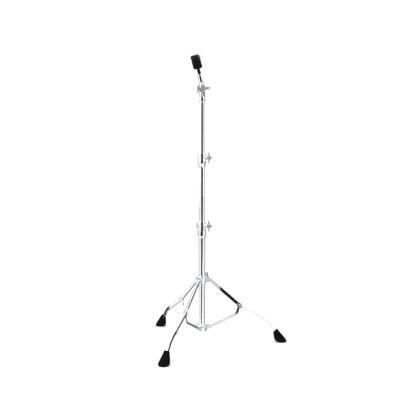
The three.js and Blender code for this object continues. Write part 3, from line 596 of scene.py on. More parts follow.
# ------------------------------------------------------------------ clamps
def clamp_field(z1, axis_z, tube_r, inner_r, profile, slot_z):
    """sleeve with a rounded cheek on each side of a slot, and a boss for the stud on the right"""
    front = [(-22.8, -10), (-21.6, -13.5), (-18, -16), (10, -16), (14, -13.5), (19.2, -6.4), (19.2, 6), (10.8, 17.6), (-17.5, 17.6), (-21.4, 16), (-22.8, 12.5)]

    def f(X, Y, Z):
        rho = np.hypot(X, Y)
        W = Z - axis_z
        sleeve = poly2(rho, Z, profile)
        plan = np.where(X < 0, np.hypot(X - 6.9, Y - 1), np.hypot(X + 6.9, Y - 1)) - 31.1
        cheeks = smax(smax(plan, poly2(X, W, front), 2.6), Y + 4, 1.0)
        d = smin(sleeve, cheeks, 2.6)
        d = smin(d, cyl(Y - BOLT_Y, W, X, 6.7, 2, 19.2, 0.9), 2.0)
        d = smax(d, -slab(np.maximum(slot_z - Z, Y + 6), X, -3.8, 3.8), 0.6)
        d = smax(d, -slab(rho - tube_r - 0.3, Z, slot_z - 60, slot_z), 0.3)
        d = smax(d, -slab(rho - tube_r - 1.4, Z, slot_z - 2.3, z1 - 3.1), 0.3)
        d = smax(d, -slab(rho - inner_r - 0.6, Z, slot_z, z1 + 20), 0.6)
        return smax(d, -cyl(Y - BOLT_Y, W, X, 3.5, -14.4, 40), 0.5)
    return f


BZ0, BZ1, BAX = 446.7, 515.4, 497.2
MZ0, MZ1, MAX_ = 733.9, 795.2, 776.6
BASE_SLOT, MID_SLOT = 474, 753.5
casting("base_clamp", clamp_field(BZ1, BAX, BASE_R, MID_R, [
    (5, BZ0), (15.2, BZ0), (15.9, BZ0 + 0.7), (17.7, BZ0 + 4.6), (18.2, BZ0 + 8), (18.2, BZ1 - 6.5), (17.6, BZ1 - 3.6), (16.4, BZ1 - 1.4),
    (14.8, BZ1), (5, BZ1)], BASE_SLOT), (-24.5, -31, BZ0 - 1.5), (24, 19.8, BZ1 + 1.5), 0.66, M_FIT, "base")
casting("middle_clamp", clamp_field(MZ1, MAX_, MID_R, TOP_R, [
    (5, MZ0), (13.4, MZ0), (13.9, MZ0 + 0.6), (14.4, MZ0 + 7), (15.6, MZ0 + 12.5), (17.4, MZ0 + 19.5), (18.2, MZ0 + 26), (18.2, MZ1 - 6.5),
    (17.5, MZ1 - 3.6), (16, MZ1 - 1.4), (13.9, MZ1), (5, MZ1)], MID_SLOT), (-24.5, -31, MZ0 - 1.5), (24, 19.8, MZ1 + 1.5), 0.66, M_FIT,
    "middle_section")


def bushing(node, inner, step, outer, z0, zs, z1, body):
    """split liner, stepped over the end of the outer tube; its slit is at the back"""
    half = math.degrees(math.asin(2.0 / ((inner + outer) / 2)))
    prof = [(step, z0, 0.2), (outer, z0, 0.3), (outer, z1, 0.4), (inner, z1, 0.5), (inner, zs, 0.2), (step, zs, 0.1), (step, z0, 0.2)]
    v, f = lathe(rounded(prof, 4), 72, 90 + half, 450 - half)
    piece(node + "_shell", v, f, M_FIT, NYLON, body, node, "black_nylon", sharp=40)


bushing("base_clamp_bushing", 12.95, 14.55, 15.5, BASE_SLOT - 2, 492.5, BZ1 - 3.4, "base")
bushing("middle_clamp_bushing", 11.35, 12.95, 13.9, MID_SLOT - 2, 770.5, MZ1 - 3.4, "middle_section")


def threaded(r, z0, z1, t0, pitch=1.25, depth=0.62, seg=32, plain=10.0):
    """plain shank with a rolled thread over its upper end"""
    zs = [z0, z0 + 0.6] + list(np.arange(z0 + 3, t0 - 1, plain)) + list(np.arange(t0, z1 + 1e-6, pitch / 5))
    verts, faces = [], []
    for z in zs:
        for k in range(seg):
            a = 2 * math.pi * k / seg
            rr = r
            if z >= t0:
                ph = ((z / pitch) - k / seg) % 1.0
                rr = r - depth * max(0.0, 1 - abs(ph - 0.5) * 2) * min(1, (z - t0) / 1.2)
                rr = min(rr, r - 1.1 + (z1 - z) * 0.9)
            elif z <= z0 + 0.01:
                rr = r - 0.6
            verts.append((rr * math.cos(a), rr * math.sin(a), z))
    for i in range(len(zs) - 1):
        for k in range(seg):
            a, b = i * seg + k, i * seg + (k + 1) % seg
            faces.append([a, b, b + seg, a + seg])
    verts += [(0, 0, z0), (0, 0, zs[-1])]
    lo, hi = len(verts) - 2, len(verts) - 1
    last = (len(zs) - 1) * seg
    for k in range(seg):
        faces.append([lo, (k + 1) % seg, k])
        faces.append([hi, last + k, last + (k + 1) % seg])
    return verts, faces


def hex_field(across, t0, t1, shank_r, shank_end):
    def f(X, Y, Z):
        d = -1e9 * np.ones(X.shape)
        for k in range(3):
            a = math.radians(60 * k)
            d = np.maximum(d, np.abs(X * math.cos(a) + Y * math.sin(a)) - across / 2)
        head = slab(d, Z, t0, t1, 0.25)
        rho = np.hypot(X, Y)
        head = smax(head, (rho * 0.5 - (Z - t0) * 0.87 - across * 0.262), 0.2)
        shank = slab(rho - shank_r, Z, t1 - 1, shank_end, 0.5)
        return smin(head, shank, 0.5)
    return f


STUD = threaded(3.05, -13.8, 31.5, 13.0, 1.0, 0.5, 28)
# the studs run across the clamp slots; their dark steel is painted shade that keeps the slots dark
piece("base_clamp_bolt_shell", *STUD, M_FIT @ T(0, BOLT_Y, BAX) @ LAY_X, SLOT_SHADE_STEEL, "base", "base_clamp_bolt", "bright_steel", sharp=50)
piece("middle_clamp_bolt_shell", *STUD, M_FIT @ T(0, BOLT_Y, MAX_) @ LAY_X, SLOT_SHADE_STEEL, "middle_section", "middle_clamp_bolt", "bright_steel", sharp=50)
v, f = lathe(rounded([(3.4, 19.5, 0.15), (7.4, 19.5, 0.3), (7.4, 20.7, 0.3), (3.4, 20.7, 0.15), (3.4, 19.5, 0.15)], 3), 48)
piece("base_clamp_washer_shell", v, f, M_FIT @ T(0, BOLT_Y, BAX) @ LAY_X, ZINC, "base", "base_clamp_washer", "bright_steel", sharp=35)
piece("middle_clamp_washer_shell", v, f, M_FIT @ T(0, BOLT_Y, MAX_) @ LAY_X, ZINC, "middle_section", "middle_clamp_washer", "bright_steel", sharp=35)


# ------------------------------------------------------------------ legs and braces
def soft_path(points, radii, step=3.0):
    out = [Vector(points[0])]
    for i in range(1, len(points) - 1):
        a, b, c = Vector(points[i - 1]), Vector(points[i]), Vector(points[i + 1])
        u, w = (a - b).normalized(), (c - b).normalized()
        half = math.acos(u.dot(w)) / 2
        t = radii[i - 1] / math.tan(half)
        centre = b + (u + w).normalized() * (radii[i - 1] / math.sin(half))
        p, q = b + u * t - centre, b + w * t - centre
        ang = math.atan2(p.x * q.y - p.y * q.x, p.dot(q))
        n = max(4, int(abs(ang) * radii[i - 1] / step))
        for k in range(n + 1):
            s = ang * k / n
            out.append(Vector((p.x * math.cos(s) - p.y * math.sin(s), p.x * math.sin(s) + p.y * math.cos(s))) + centre)
    out.append(Vector(points[-1]))
    dense = [out[0]]
    for a, b in zip(out, out[1:]):
        n = max(1, int((b - a).length / 8))
        dense += [a.lerp(b, (k + 1) / n) for k in range(n)]
    return dense


def arc(cx, cy, r, a0, a1, n):
    return [(cx + r * math.cos(math.radians(a0 + (a1 - a0) * k / n)), cy + r * math.sin(math.radians(a0 + (a1 - a0) * k / n))) for k in range(n + 1)]


def long_runs(pts):
    n = len(pts)
    return [i for i in range(n) if math.hypot(pts[(i + 1) % n][0] - pts[i][0], pts[(i + 1) % n][1] - pts[i][1]) > 1.3]


def supported(pts, runs, gap=0.22):
    """adds a point close to each end of the long runs, so that flats shade flat"""
    out = []
    for i, a in enumerate(pts):
        b = pts[(i + 1) % len(pts)]
        out.append(a)
        if i in runs:
            n = max(math.hypot(b[0] - a[0], b[1] - a[1]), 1e-6)
            w = min(gap / n, 0.3)
            for t in (w, 1 - w):
                out.append((a[0] + (b[0] - a[0]) * t, a[1] + (b[1] - a[1]) * t))
    return out


def channel(h, width=10.0, wall=1.3, ro=2.3, edge=0.45):
    """pressed channel section, open below: (across, up) points"""
    w = width / 2
    iw = w - wall
    ri = max(ro - wall, 0.5)
    ro = min(ro, h * 0.9)
    ri = min(ri, h * 0.4)
    pts = arc(w - edge, -h + edge, edge, -90, 0, 3)
    pts += arc(w - ro, h - ro, ro, 0, 90, 7)
    pts += arc(-w + ro, h - ro, ro, 90, 180, 7)
    pts += arc(-w + edge, -h + edge, edge, 180, 270, 3)
    pts += arc(-iw - edge, -h + edge, edge, 270, 360, 2)
    top = max(h - wall - ri, -h + edge + 0.2)
    pts += arc(-iw + ri, top, ri, 180, 90, 5)
    pts += arc(iw - ri, top, ri, 90, 0, 5)
    pts += arc(iw + edge, -h + edge, edge, 180, 270, 2)
    return pts


def leg_mesh():
    pivot = Vector(PC)
    runs = long_runs(channel(8.0))
    path = soft_path([(29.2, 274.13), (162, 156.6), (276.5, 87.6), (316.5, 33.5)], [80, 120])
    first = next(i for i, p in enumerate(path) if p.x > pivot.x + 6)
    rest = path[first:]
    dirn = (rest[0] - pivot).normalized()
    stations = []
    for s in (-7.75, -7.4, -6.8, -6.0, -5.0, -3.6, -2.0, 0.0, 2.5):
        h = math.sqrt(max(64 - s * s, 1.8)) if s < 0 else 8.0
        stations.append((pivot + dirn * s, dirn, h))
    for i, p in enumerate(rest):
        a = rest[max(i - 1, 0)] if i else pivot
        b = rest[min(i + 1, len(rest) - 1)]
        t = (b - a).normalized()
        k = min(max((p.x - 240) / 50, 0), 1)
        stations.append((p, t, 8.0 + (6.3 - 8.0) * k))
    rings = []
    for p, t, h in stations:
        n = Vector((-t.y, t.x))
        rings.append([(p.x + n.x * up, across, p.y + n.y * up) for across, up in supported(channel(h), runs)])
    return sweep(rings)


def brace_mesh():
    path = soft_path([PQ, (144.9, 123.1), PH], [22], 1.5)
    half, w, rc = 6.2, 3.4, 1.7
    d0 = (path[1] - path[0]).normalized()
    d1 = (path[-1] - path[-2]).normalized()
    stations = []
    cap = (-6.0, -5.6, -5.0, -4.2, -3.2, -2.0, -0.8)
    for s in cap:
        stations.append((path[0] + d0 * s, d0, math.sqrt(half * half - s * s)))
    for i, p in enumerate(path):
        a, b = path[max(i - 1, 0)], path[min(i + 1, len(path) - 1)]
        stations.append((p, (b - a).normalized(), half))
    for s in reversed(cap):
        stations.append((path[-1] - d1 * s, d1, math.sqrt(half * half - s * s)))
    rings = []

    def section(h):
        r = min(rc, h * 0.8)
        return arc(w - r, h - r, r, 0, 90, 5) + arc(-w + r, h - r, r, 90, 180, 5) + arc(-w + r, -h + r, r, 180, 270, 5) + arc(w - r, -h + r, r, 270, 360, 5)

    runs = long_runs(section(half))
    for p, t, h in stations:
        n = Vector((-t.y, t.x))
        rings.append([(p.x + n.x * up, across, p.y + n.y * up) for across, up in supported(section(h), runs)])
    return sweep(rings)


def saddle_field(X, Y, Z):
    u = Vector((162 - 35, 156.6 - 269)).normalized()
    a = (X - PQ[0]) * u.x + (Z - PQ[1]) * u.y
    b = -(X - PQ[0]) * u.y + (Z - PQ[1]) * u.x
    outline = poly2(a, b, [(-9.4, 9.9), (4.6, 9.9), (6.9, 7), (6, -8.3), (3, -10.5), (-5, -10.5), (-9.4, -7)])
    outer = slab(np.maximum(b - 9.9, -20 - b), Y, -6.85, 6.85, 2.4)
    inner = slab(np.maximum(b - 8.35, -40 - b), Y, -5.28, 5.28, 1.2)
    d = smax(outer, outline, 0.8)
    return smax(d, -inner, 0.4)


def foot_mesh():
    keys = [
        (334.6, 0.0, 19.2, 0), (334.6, 0.35, 20.2, 0), (334.5, 1.3, 21.4, 0), (334.4, 3.0, 22.5, 0), (334.0, 5.5, 22.85, 1.5),
        (331.0, 9.4, 22.5, 6), (327, 14, 21.8, 12), (322.8, 20.5, 19.9, 18.5), (318.6, 27.5, 17.5, 25), (315.6, 33.6, 15.7, 28),
        (312.8, 39.6, 14.0, 31), (310.6, 44.4, 12.7, 34.5), (309.2, 47.3, 11.95, 36.9), (308.7, 48.3, 11.5, 36.9), (308.3, 48.9, 10.9, 36.9)]
    n = 64
    rings = []
    for r, z, rad, tilt in keys:
        c, s = math.cos(math.radians(tilt)), math.sin(math.radians(tilt))
        rings.append([(r + rad * math.cos(2 * math.pi * k / n) * c, rad * math.sin(2 * math.pi * k / n),
                       z + rad * math.cos(2 * math.pi * k / n) * s) for k in range(n)])
    # lip into the socket round the leg
    axis = Vector((316.5 - 276.5, 33.5 - 87.6)).normalized()
    nrm = Vector((-axis.y, axis.x))
    for depth, grow in ((0.0, 1.1), (0.5, 0.45), (1.4, 0.3), (8.0, 0.3)):
        c = Vector((308.1, 49.3)) + axis * depth
        hy, hn, rr = 5.0 + grow, 6.3 + grow, 2.4
        ring = []
        for k in range(n):
            a = 2 * math.pi * k / n
            # superellipse: along the normal (first) and across
            q = 0.42
            cn = math.copysign(abs(math.cos(a)) ** q, math.cos(a)) * hn
            cy = math.copysign(abs(math.sin(a)) ** q, math.sin(a)) * hy
            x = c.x + nrm.x * cn
            z = c.y + nrm.y * cn
            ring.append((x, cy, z))
        rings.append(ring)
    # shallow tread ring in the sole
    sole = [[(334.6 + rad * math.cos(2 * math.pi * k / n), rad * math.sin(2 * math.pi * k / n), z) for k in range(n)]
            for rad, z in ((5.0, 0.9), (5.6, 0.0), (9.6, 0.0), (10.2, 0.9), (12.0, 0.9), (12.6, 0.0))]
    return sweep(sole + rings)


LEG, BRACE, FOOT = leg_mesh(), brace_mesh(), foot_mesh()
SADDLE = surface(saddle_field, (143, -8.2, 148), (172, 8.2, 178), 0.36)


def rivet(half, head, dome):
    prof = [(0, -half - dome), (head * 0.45, -half - dome * 0.93), (head * 0.78, -half - dome * 0.62), (head, -half - 0.25, 0.2), (head, -half),
            (2.4, -half), (2.4, half), (head, half), (head, half + 0.25, 0.2), (head * 0.78, half + dome * 0.62),
            (head * 0.45, half + dome * 0.93), (0, half + dome)]
    return lathe(rounded(prof, 2), 40)


PIN_C = rivet(8.15, 5.0, 1.9)
PIN_Q = rivet(7.2, 4.2, 1.9)
PIN_H = lathe(rounded([(0, -3.7), (2.5, -3.7, 0.4), (2.5, 3.7, 0.4), (0, 3.7)], 3), 32)
for k, M in M_SIDE.items():
    piece(f"leg_{k}_shell", *LEG, M, CHROME_PRESS, "leg_" + k, "leg_" + k, "chrome_pressing", sharp=38)
    piece(f"foot_{k}_shell", *FOOT, M, RUBBER, "leg_" + k, "foot_" + k, "black_rubber", sharp=50)
    piece(f"leg_saddle_{k}_shell", *SADDLE, M, CHROME_PRESS, "leg_" + k, "leg_saddle_" + k, "chrome_pressing")
    piece(f"brace_{k}_shell", *BRACE, M, CHROME_PRESS, "brace_" + k, "brace_" + k, "chrome_pressing", sharp=38)
    piece(f"leg_pivot_pin_{k}_shell", *PIN_C, M @ T(PC[0], 0, PC[1]) @ LAY_Y, ZINC, "collar", "leg_pivot_pin_" + k, "bright_steel", sharp=40)
    piece(f"brace_pivot_pin_{k}_shell", *PIN_Q, M @ T(PQ[0], 0, PQ[1]) @ LAY_Y, ZINC, "leg_" + k, "brace_pivot_pin_" + k, "bright_steel", sharp=40)
    piece(f"brace_hub_pin_{k}_shell", *PIN_H, M @ T(PH[0], 0, PH[1]) @ LAY_Y, ZINC, "brace_" + k, "brace_hub_pin_" + k, "bright_steel", sharp=40)


# ------------------------------------------------------------------ screws
def socket_screw_field(r_head, h0, h1, r_shank, s0, hexa, depth):
    def f(X, Y, Z):
        rho = np.hypot(X, Y)
        d = slab(rho - r_head, Z, h0, h1, 0.6)
        d = smin(d, slab(rho - r_shank, Z, s0, h0 + 0.5, 0.3), 0.3)
        k = -1e9 * np.ones(X.shape)
        for i in range(3):
            a = math.radians(60 * i)
            k = np.maximum(k, np.abs(X * math.cos(a) + Y * math.sin(a)) - hexa / 2)
        return smax(d, -slab(k, Z, h1 - depth, h1 + 5), 0.2)
    return f


v, f = surface(socket_screw_field(2.95, 14.95, 20.55, 2.9, 15.0, 3.0, 2.2), (-4, -4, 14.2), (4, 4, 21.4), 0.22)
piece("lower_hub_screw_shell", v, f, M_MAST @ R(60, "Z") @ T(0, 0, 66) @ LAY_X, ZINC, "base", "lower_hub_screw", "bright_steel")
v, f = surface(socket_screw_field(3.85, 13.45, 16.55, 2.35, 11.75, 2.6, 1.9), (-4.8, -4.8, 11), (4.8, 4.8, 17.4), 0.24)
piece("socket_screw_shell", v, f, M_TIL @ T(0, 0, 1003.6 - TIL_Z + 6.4) @ LAY_Y, ZINC, "top_section", "socket_screw", "bright_steel")


# ------------------------------------------------------------------ tilter
DISC_R, DISC_T, TEETH = 13.0, 9.2, 24


def teeth_depth(Y, Z):
    """depth of the radial notches in a disc face"""
    rad = np.hypot(Y, Z)
    ang = np.arctan2(Z, Y)
    tri = np.abs(((ang * TEETH / (2 * np.pi)) % 1.0) - 0.5) * 2
    return np.clip((tri - 0.35) * 1.9, 0, 1.15) * np.clip((rad - 7.4) / 0.8, 0, 1)


def block_outline():
    """rear block seen along the hinge: sharp bottom corners, well rounded top corners"""
    half, z0, z1 = 15.0, -19.3, 17.5
    pts = []
    for cy, cz, r, a0 in ((half - 1.6, z0 + 1.6, 1.6, -90), (half - 7, z1 - 7, 7, 0), (-half + 7, z1 - 7, 7, 90), (-half + 1.6, z0 + 1.6, 1.6, 180)):
        for k in range(9):
            a = math.radians(a0 + 90 * k / 8)
            pts.append((cy + r * math.cos(a), cz + r * math.sin(a)))
    return pts


BLOCK = block_outline()


def socket_field(X, Y, Z):
    z0, top = 1003.6 - TIL_Z, -DISC_R - 1
    rho = np.hypot(X, Y)
    rad = np.hypot(Y, Z)
    d = poly2(rho, Z, [(0.01, z0), (12.1, z0), (12.9, z0 + 0.9), (12.9, top - 0.9), (12.0, top), (0.01, top)])
    # sloping flat on the front, under the disc
    d = smax(d, (X - 12.9) * 0.9903 + (Z + 37) * 0.1391, 0.7)
    d = smax(d, -np.maximum(rad - (DISC_R + 0.6), -(X + 0.15)), 0.8)
    block = slab(poly2(Y, Z, BLOCK), X, -13, -0.15, 0.9)
    block = smax(block, (X + 0.15 - Z - 19.3 + 4.5) * 0.7071, 1.2)
    face = X + 0.15 + teeth_depth(Y, Z) * 0.85
    d = smin(d, block, 1.3)
    d = np.where(rad < DISC_R + 0.2, np.maximum(d, face), d)
    d = smax(d, -slab(rho - 11.35, Z, z0 - 20, 1024.4 - TIL_Z), 0.5)
    d = smax(d, -(rad - 3.6), 0.4)
    d = smax(d, -cyl(X, Z - (z0 + 6.4), Y, 2.6, 3, 40), 0.4)
    h = -1e9 * np.ones(X.shape)
    for i in range(3):
        a = math.radians(60 * i)
        h = np.maximum(h, np.abs(Y * math.cos(a) + Z * math.sin(a)) - 6.35)
    return smax(d, -slab(h, X, -30, -6.2), 0.3)


def head_field(X, Y, Z):
    rad = np.hypot(Y, Z)
    disc = slab(rad - DISC_R, X, 0.15, 0.15 + DISC_T, 0.9)
    boss = slab(rad - 9.2, X, 5, 18.8, 0.9)
    t = np.clip((Z - 6) / 13, 0, 1)
    s = t * t * (3 - 2 * t)
    rx = 4.6 + (11.3 - 4.6) * s
    ry = 11.4
    cx = 5 + (ROD_X - 5) * s
    k = np.sqrt(((X - cx) / rx) ** 2 + (Y / ry) ** 2 + 1e-12)
    stem = slab((k - 1) * np.minimum(rx, ry), Z, 4, 23.1, 0.7)
    stem = smax(stem, 0.15 - X, 0.7)
    d = smin(disc, boss, 1.2)
    d = smin(d, stem, 2.2)
    d = np.maximum(d, 0.15 - X)
    d = np.where(rad < DISC_R + 0.2, np.maximum(d, 0.15 - X + teeth_depth(Y, Z) * 0.85), d)
    d = smax(d, -(rad - 3.6), 0.4)
    return smax(d, -cyl(X - ROD_X, Y, Z, 4.3, 10.5, 40), 0.4)


casting("tilter_socket", socket_field, (-14.2, -16.2, -54.2), (14, 16.2, 18.8), 0.5, M_TIL, "top_section")
v, f = surface(head_field, (-1.2, -14.4, -14.4), (21.2, 14.4, 24.4), 0.46)
head = piece("tilter_head_shell", v, f, M_HEAD, CHROME_CAST, "tilter", "tilter_head", "chrome_casting")
# the toothed disc and its boss get the darker grey casting material, the socket above them the bright one
head.data.materials.append(CHROME_TILT)
v = np.asarray(v)
mid = np.array([v[list(q)].mean(axis=0) for q in f])
rad = np.hypot(mid[:, 1], mid[:, 2])
satin = ((rad < 13.3) & (mid[:, 0] < 9.5) & (mid[:, 2] < 8)) | ((rad < 9.8) & (mid[:, 0] > 5))
head.data.polygons.foreach_set("material_index", satin.astype(np.int32))
v, f = surface(hex_field(12.0, -10.6, -6.55, 3.18, 31.9), (-8, -8, -11.6), (8, 8, 33.0), 0.42)
piece("tilter_bolt_shell", v, f, M_TIL @ LAY_X, ZINC, "top_section", "tilter_bolt", "bright_steel")
v, f = lathe(rounded([(3.6, 19.1, 0.15), (7.8, 19.1, 0.3), (7.8, 20.4, 0.3), (3.6, 20.4, 0.15), (3.6, 19.1, 0.15)], 3), 48)
piece("tilter_washer_shell", v, f, M_TIL @ LAY_X, ZINC, "tilter", "tilter_washer", "bright_steel", sharp=35)

# ------------------------------------------------------------------ rod and stack
simple("rod_cone", [(4.3, 24, 0.3), (12.0, 24, 0.4), (12.8, 25, 0.6), (12.6, 29.5, 1.5), (10.55, 57.1, 1.2), (10.3, 58.1, 0.8), (8.9, 59.5, 0.6), (4.3, 59.5, 0.3), (4.3, 24, 0.3)],
       M_STACK, CHROME_TUBE, "tilter", "chrome_tube", 96, rs=5)
simple("cymbal_sleeve", [(4.3, 59.8, 0.2), (7, 59.8, 0.5), (7, 62.4, 0.6), (6.2, 63.2, 0.5), (6.2, 115.6, 0.6), (4.3, 115.6, 0.2), (4.3, 59.8, 0.2)],
       M_STACK, NYLON, "tilter", "black_nylon", 64)
simple("seat_washer", [(6.5, 81.2, 0.2), (13.2, 81.2, 1.5), (16.9, 82.6, 1.5), (18.05, 84.9, 0.4), (6.5, 84.9, 0.2), (6.5, 81.2, 0.2)],
       M_STACK, PLASTIC, "tilter", "black_plastic", 80, rs=6)


piece("cymbal_rod_shell", *threaded(4.0, 11.0, 133.0, 96.0), M_STACK, ZINC, "tilter", "cymbal_rod", "bright_steel", sharp=50)


def felt_ring(name, s0, seed, body):
    rnd = random.Random(seed)
    h, ri, ro = 13.8, 6.8, 18.55
    prof = rounded([(ri, s0, 0.8), (ro, s0, 2.1), (ro, s0 + h, 2.1), (ri, s0 + h, 0.8), (ri, s0, 0.8)], 6)
    fine = []
    for i in range(len(prof) - 1):
        (ra, za), (rb, zb) = prof[i], prof[i + 1]
        k = max(1, int(math.hypot(rb - ra, zb - za) / 0.9))
        fine += [(ra + (rb - ra) * t / k, za + (zb - za) * t / k) for t in range(k)]
    fine.append(fine[0])
    v, f = lathe(fine, 120)
    mid = s0 + h / 2
    waves = [(rnd.uniform(1.2, 4.5), rnd.uniform(0, 6.28), rnd.uniform(-0.5, 0.5), rnd.uniform(0.03, 0.09)) for _ in range(9)]
    out = []
    for x, y, z in v:
        a = math.atan2(y, x)
        r = math.hypot(x, y)
        bulge = 0.0
        for k, ph, kz, amp in waves:
            bulge += amp * math.sin(round(k * 2) * a + ph + kz * (z - mid))
        fuzz = rnd.uniform(-0.07, 0.05)
        wall = max(0.0, 1 - abs(z - mid) / (h / 2))
        side = 1.0 if r > (ri + ro) / 2 else -0.4
        dr = side * (min(bulge, 0.12) + 0.10 * math.sqrt(wall)) - 0.12 * side + fuzz
        dz = 0.0 if abs(abs(z - mid) - h / 2) < 0.02 else fuzz * 0.5
        r2 = max(r + dr, 6.6)
        z2 = mid + (z + dz - mid)
        if abs(abs(z - mid) - h / 2) < 0.3:
            z2 = z - math.copysign(0.05 + 0.05 * abs(math.sin(5 * a + seed)), z - mid)
        out.append((r2 * math.cos(a), r2 * math.sin(a), z2))
    o = piece(name + "_pad", out, f, M_STACK, FELT, body, name, "felt")
    return o


felt_ring("lower_felt", 85.2, 3, "lower_felt")
felt_ring("upper_felt", 99.3, 7, "upper_felt")

NUT_R, NUT_H = 18.6, 23.5


def nut_field(X, Y, Z):
    rho = np.hypot(X, Y)
    d = poly2(rho, Z, [(0.01, 0), (NUT_R - 0.9, 0), (NUT_R, 0.9), (NUT_R, 7.8), (NUT_R - 0.9, 8.6), (NUT_R - 0.9, 9.4), (NUT_R, 10.2), (NUT_R, NUT_H - 4.6),
                       (NUT_R - 1.1, NUT_H - 2.2), (NUT_R - 3.2, NUT_H - 0.6), (NUT_R - 6, NUT_H), (0.01, NUT_H)])
    for s in (1, -1):
        d = smax(d, 16 - np.hypot(Y - s * 28.5, Z - 21), 1.6)
    # sloping shoulder above the button
    plane = (X - 16.2) * 0.6998 + (Z - 15.6) * 0.7143
    d = smax(d, np.minimum(plane, Z - 15.6), 1.4)
    pocket = slab(np.maximum(np.abs(Y) - 6.3, np.abs(Z - 11.9) - 8.0), X, 5.4, 40)
    d = smax(d, -pocket, 0.5)
    # fine grip ribs low on the skirt
    ang = np.arctan2(Y, X)
    rib = 0.22 * np.clip(np.sin(ang * 40), -0.2, 1)
    d = np.where((Z < 7.6) & (Z > 1.4), d + 0.22 - rib * np.clip((rho - 16) / 2, 0, 1), d)
    d = smax(d, -cyl(X, Y, Z, 6.7, -5, 2.8), 0.4)
    return smax(d, -cyl(X, Y, Z, 4.35, -5, 20.4), 0.4)


def button_field(X, Y, Z):
    out = [(9.2, 4.2), (18.6, 4.2), (19.55, 5.4), (19.55, 12.6), (15.4, 17.1), (13.6, 17.5), (9.2, 17.5)]
    d = slab(poly2(X, Z, out), Y, -6, 6, 0.9)
    for k in range(4):
        d = smax(d, 0.75 - np.hypot(X - 20.0, Z - (6.6 + 1.75 * k)), 0.35)
    return d


v, f = surface(nut_field, (-20, -20, -1.2), (20, 20, 24.8), 0.5)
piece("quick_release_body_shell", v, f, M_NUT, PLASTIC, "quick_release", "quick_release_body", "black_plastic")
v, f = surface(button_field, (8, -7, 3.2), (20.6, 7, 18.5), 0.34)
piece("quick_release_button_shell", v, f, M_NUT, RED, "button", "quick_release_button", "red_plastic")


def coil():
    turns, r, w = 2.25, 2.1, 0.3
    n, m = 90, 10
    rings = []
    for i in range(n + 1):
        t = i / n
        a = 2 * math.pi * turns * t
        c = Vector((5.95 + 2.5 * t, r * math.cos(a), 10.2 + r * math.sin(a)))
        tan = Vector((2.5, -r * 2 * math.pi * turns * math.sin(a), r * 2 * math.pi * turns * math.cos(a))).normalized()
        out = Vector((0, math.cos(a), math.sin(a)))
        side = tan.cross(out).normalized()
        rings.append([tuple(c + (out * math.cos(2 * math.pi * k / m) + side * math.sin(2 * math.pi * k / m)) * w) for k in range(m)])
    return sweep(rings)


spring = piece("button_spring_shell", *coil(), M_NUT, ZINC, "quick_release", "button_spring", "bright_steel", sharp=60)
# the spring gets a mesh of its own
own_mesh(spring)

# ------------------------------------------------------------------ stage, light, camera
FRONT = -94.133  # azimuth from the mast to the camera, degrees


def stage_material(name, col):
    m, nt, b = nodes_of(name)
    b.inputs["Base Color"].default_value = (*col, 1)
    b.inputs["Roughness"].default_value = 0.9
    b.inputs["Specular IOR Level"].default_value = 0.0
    return m


def floor():
    v, f = lathe([(0, -4), (2600, -4), (2600, 0), (0, 0)], 160)
    me = bpy.data.meshes.new("floor")
    me.from_pydata(((v + np.array([0, 0, -0.15])) / 1000).tolist(), [], f)
    me.materials.append(stage_material("floor_paper", (0.95, 0.95, 0.95)))
    o = bpy.data.objects.new("floor", me)
    o.visible_glossy = False
    bpy.context.scene.collection.objects.link(o)


floor()


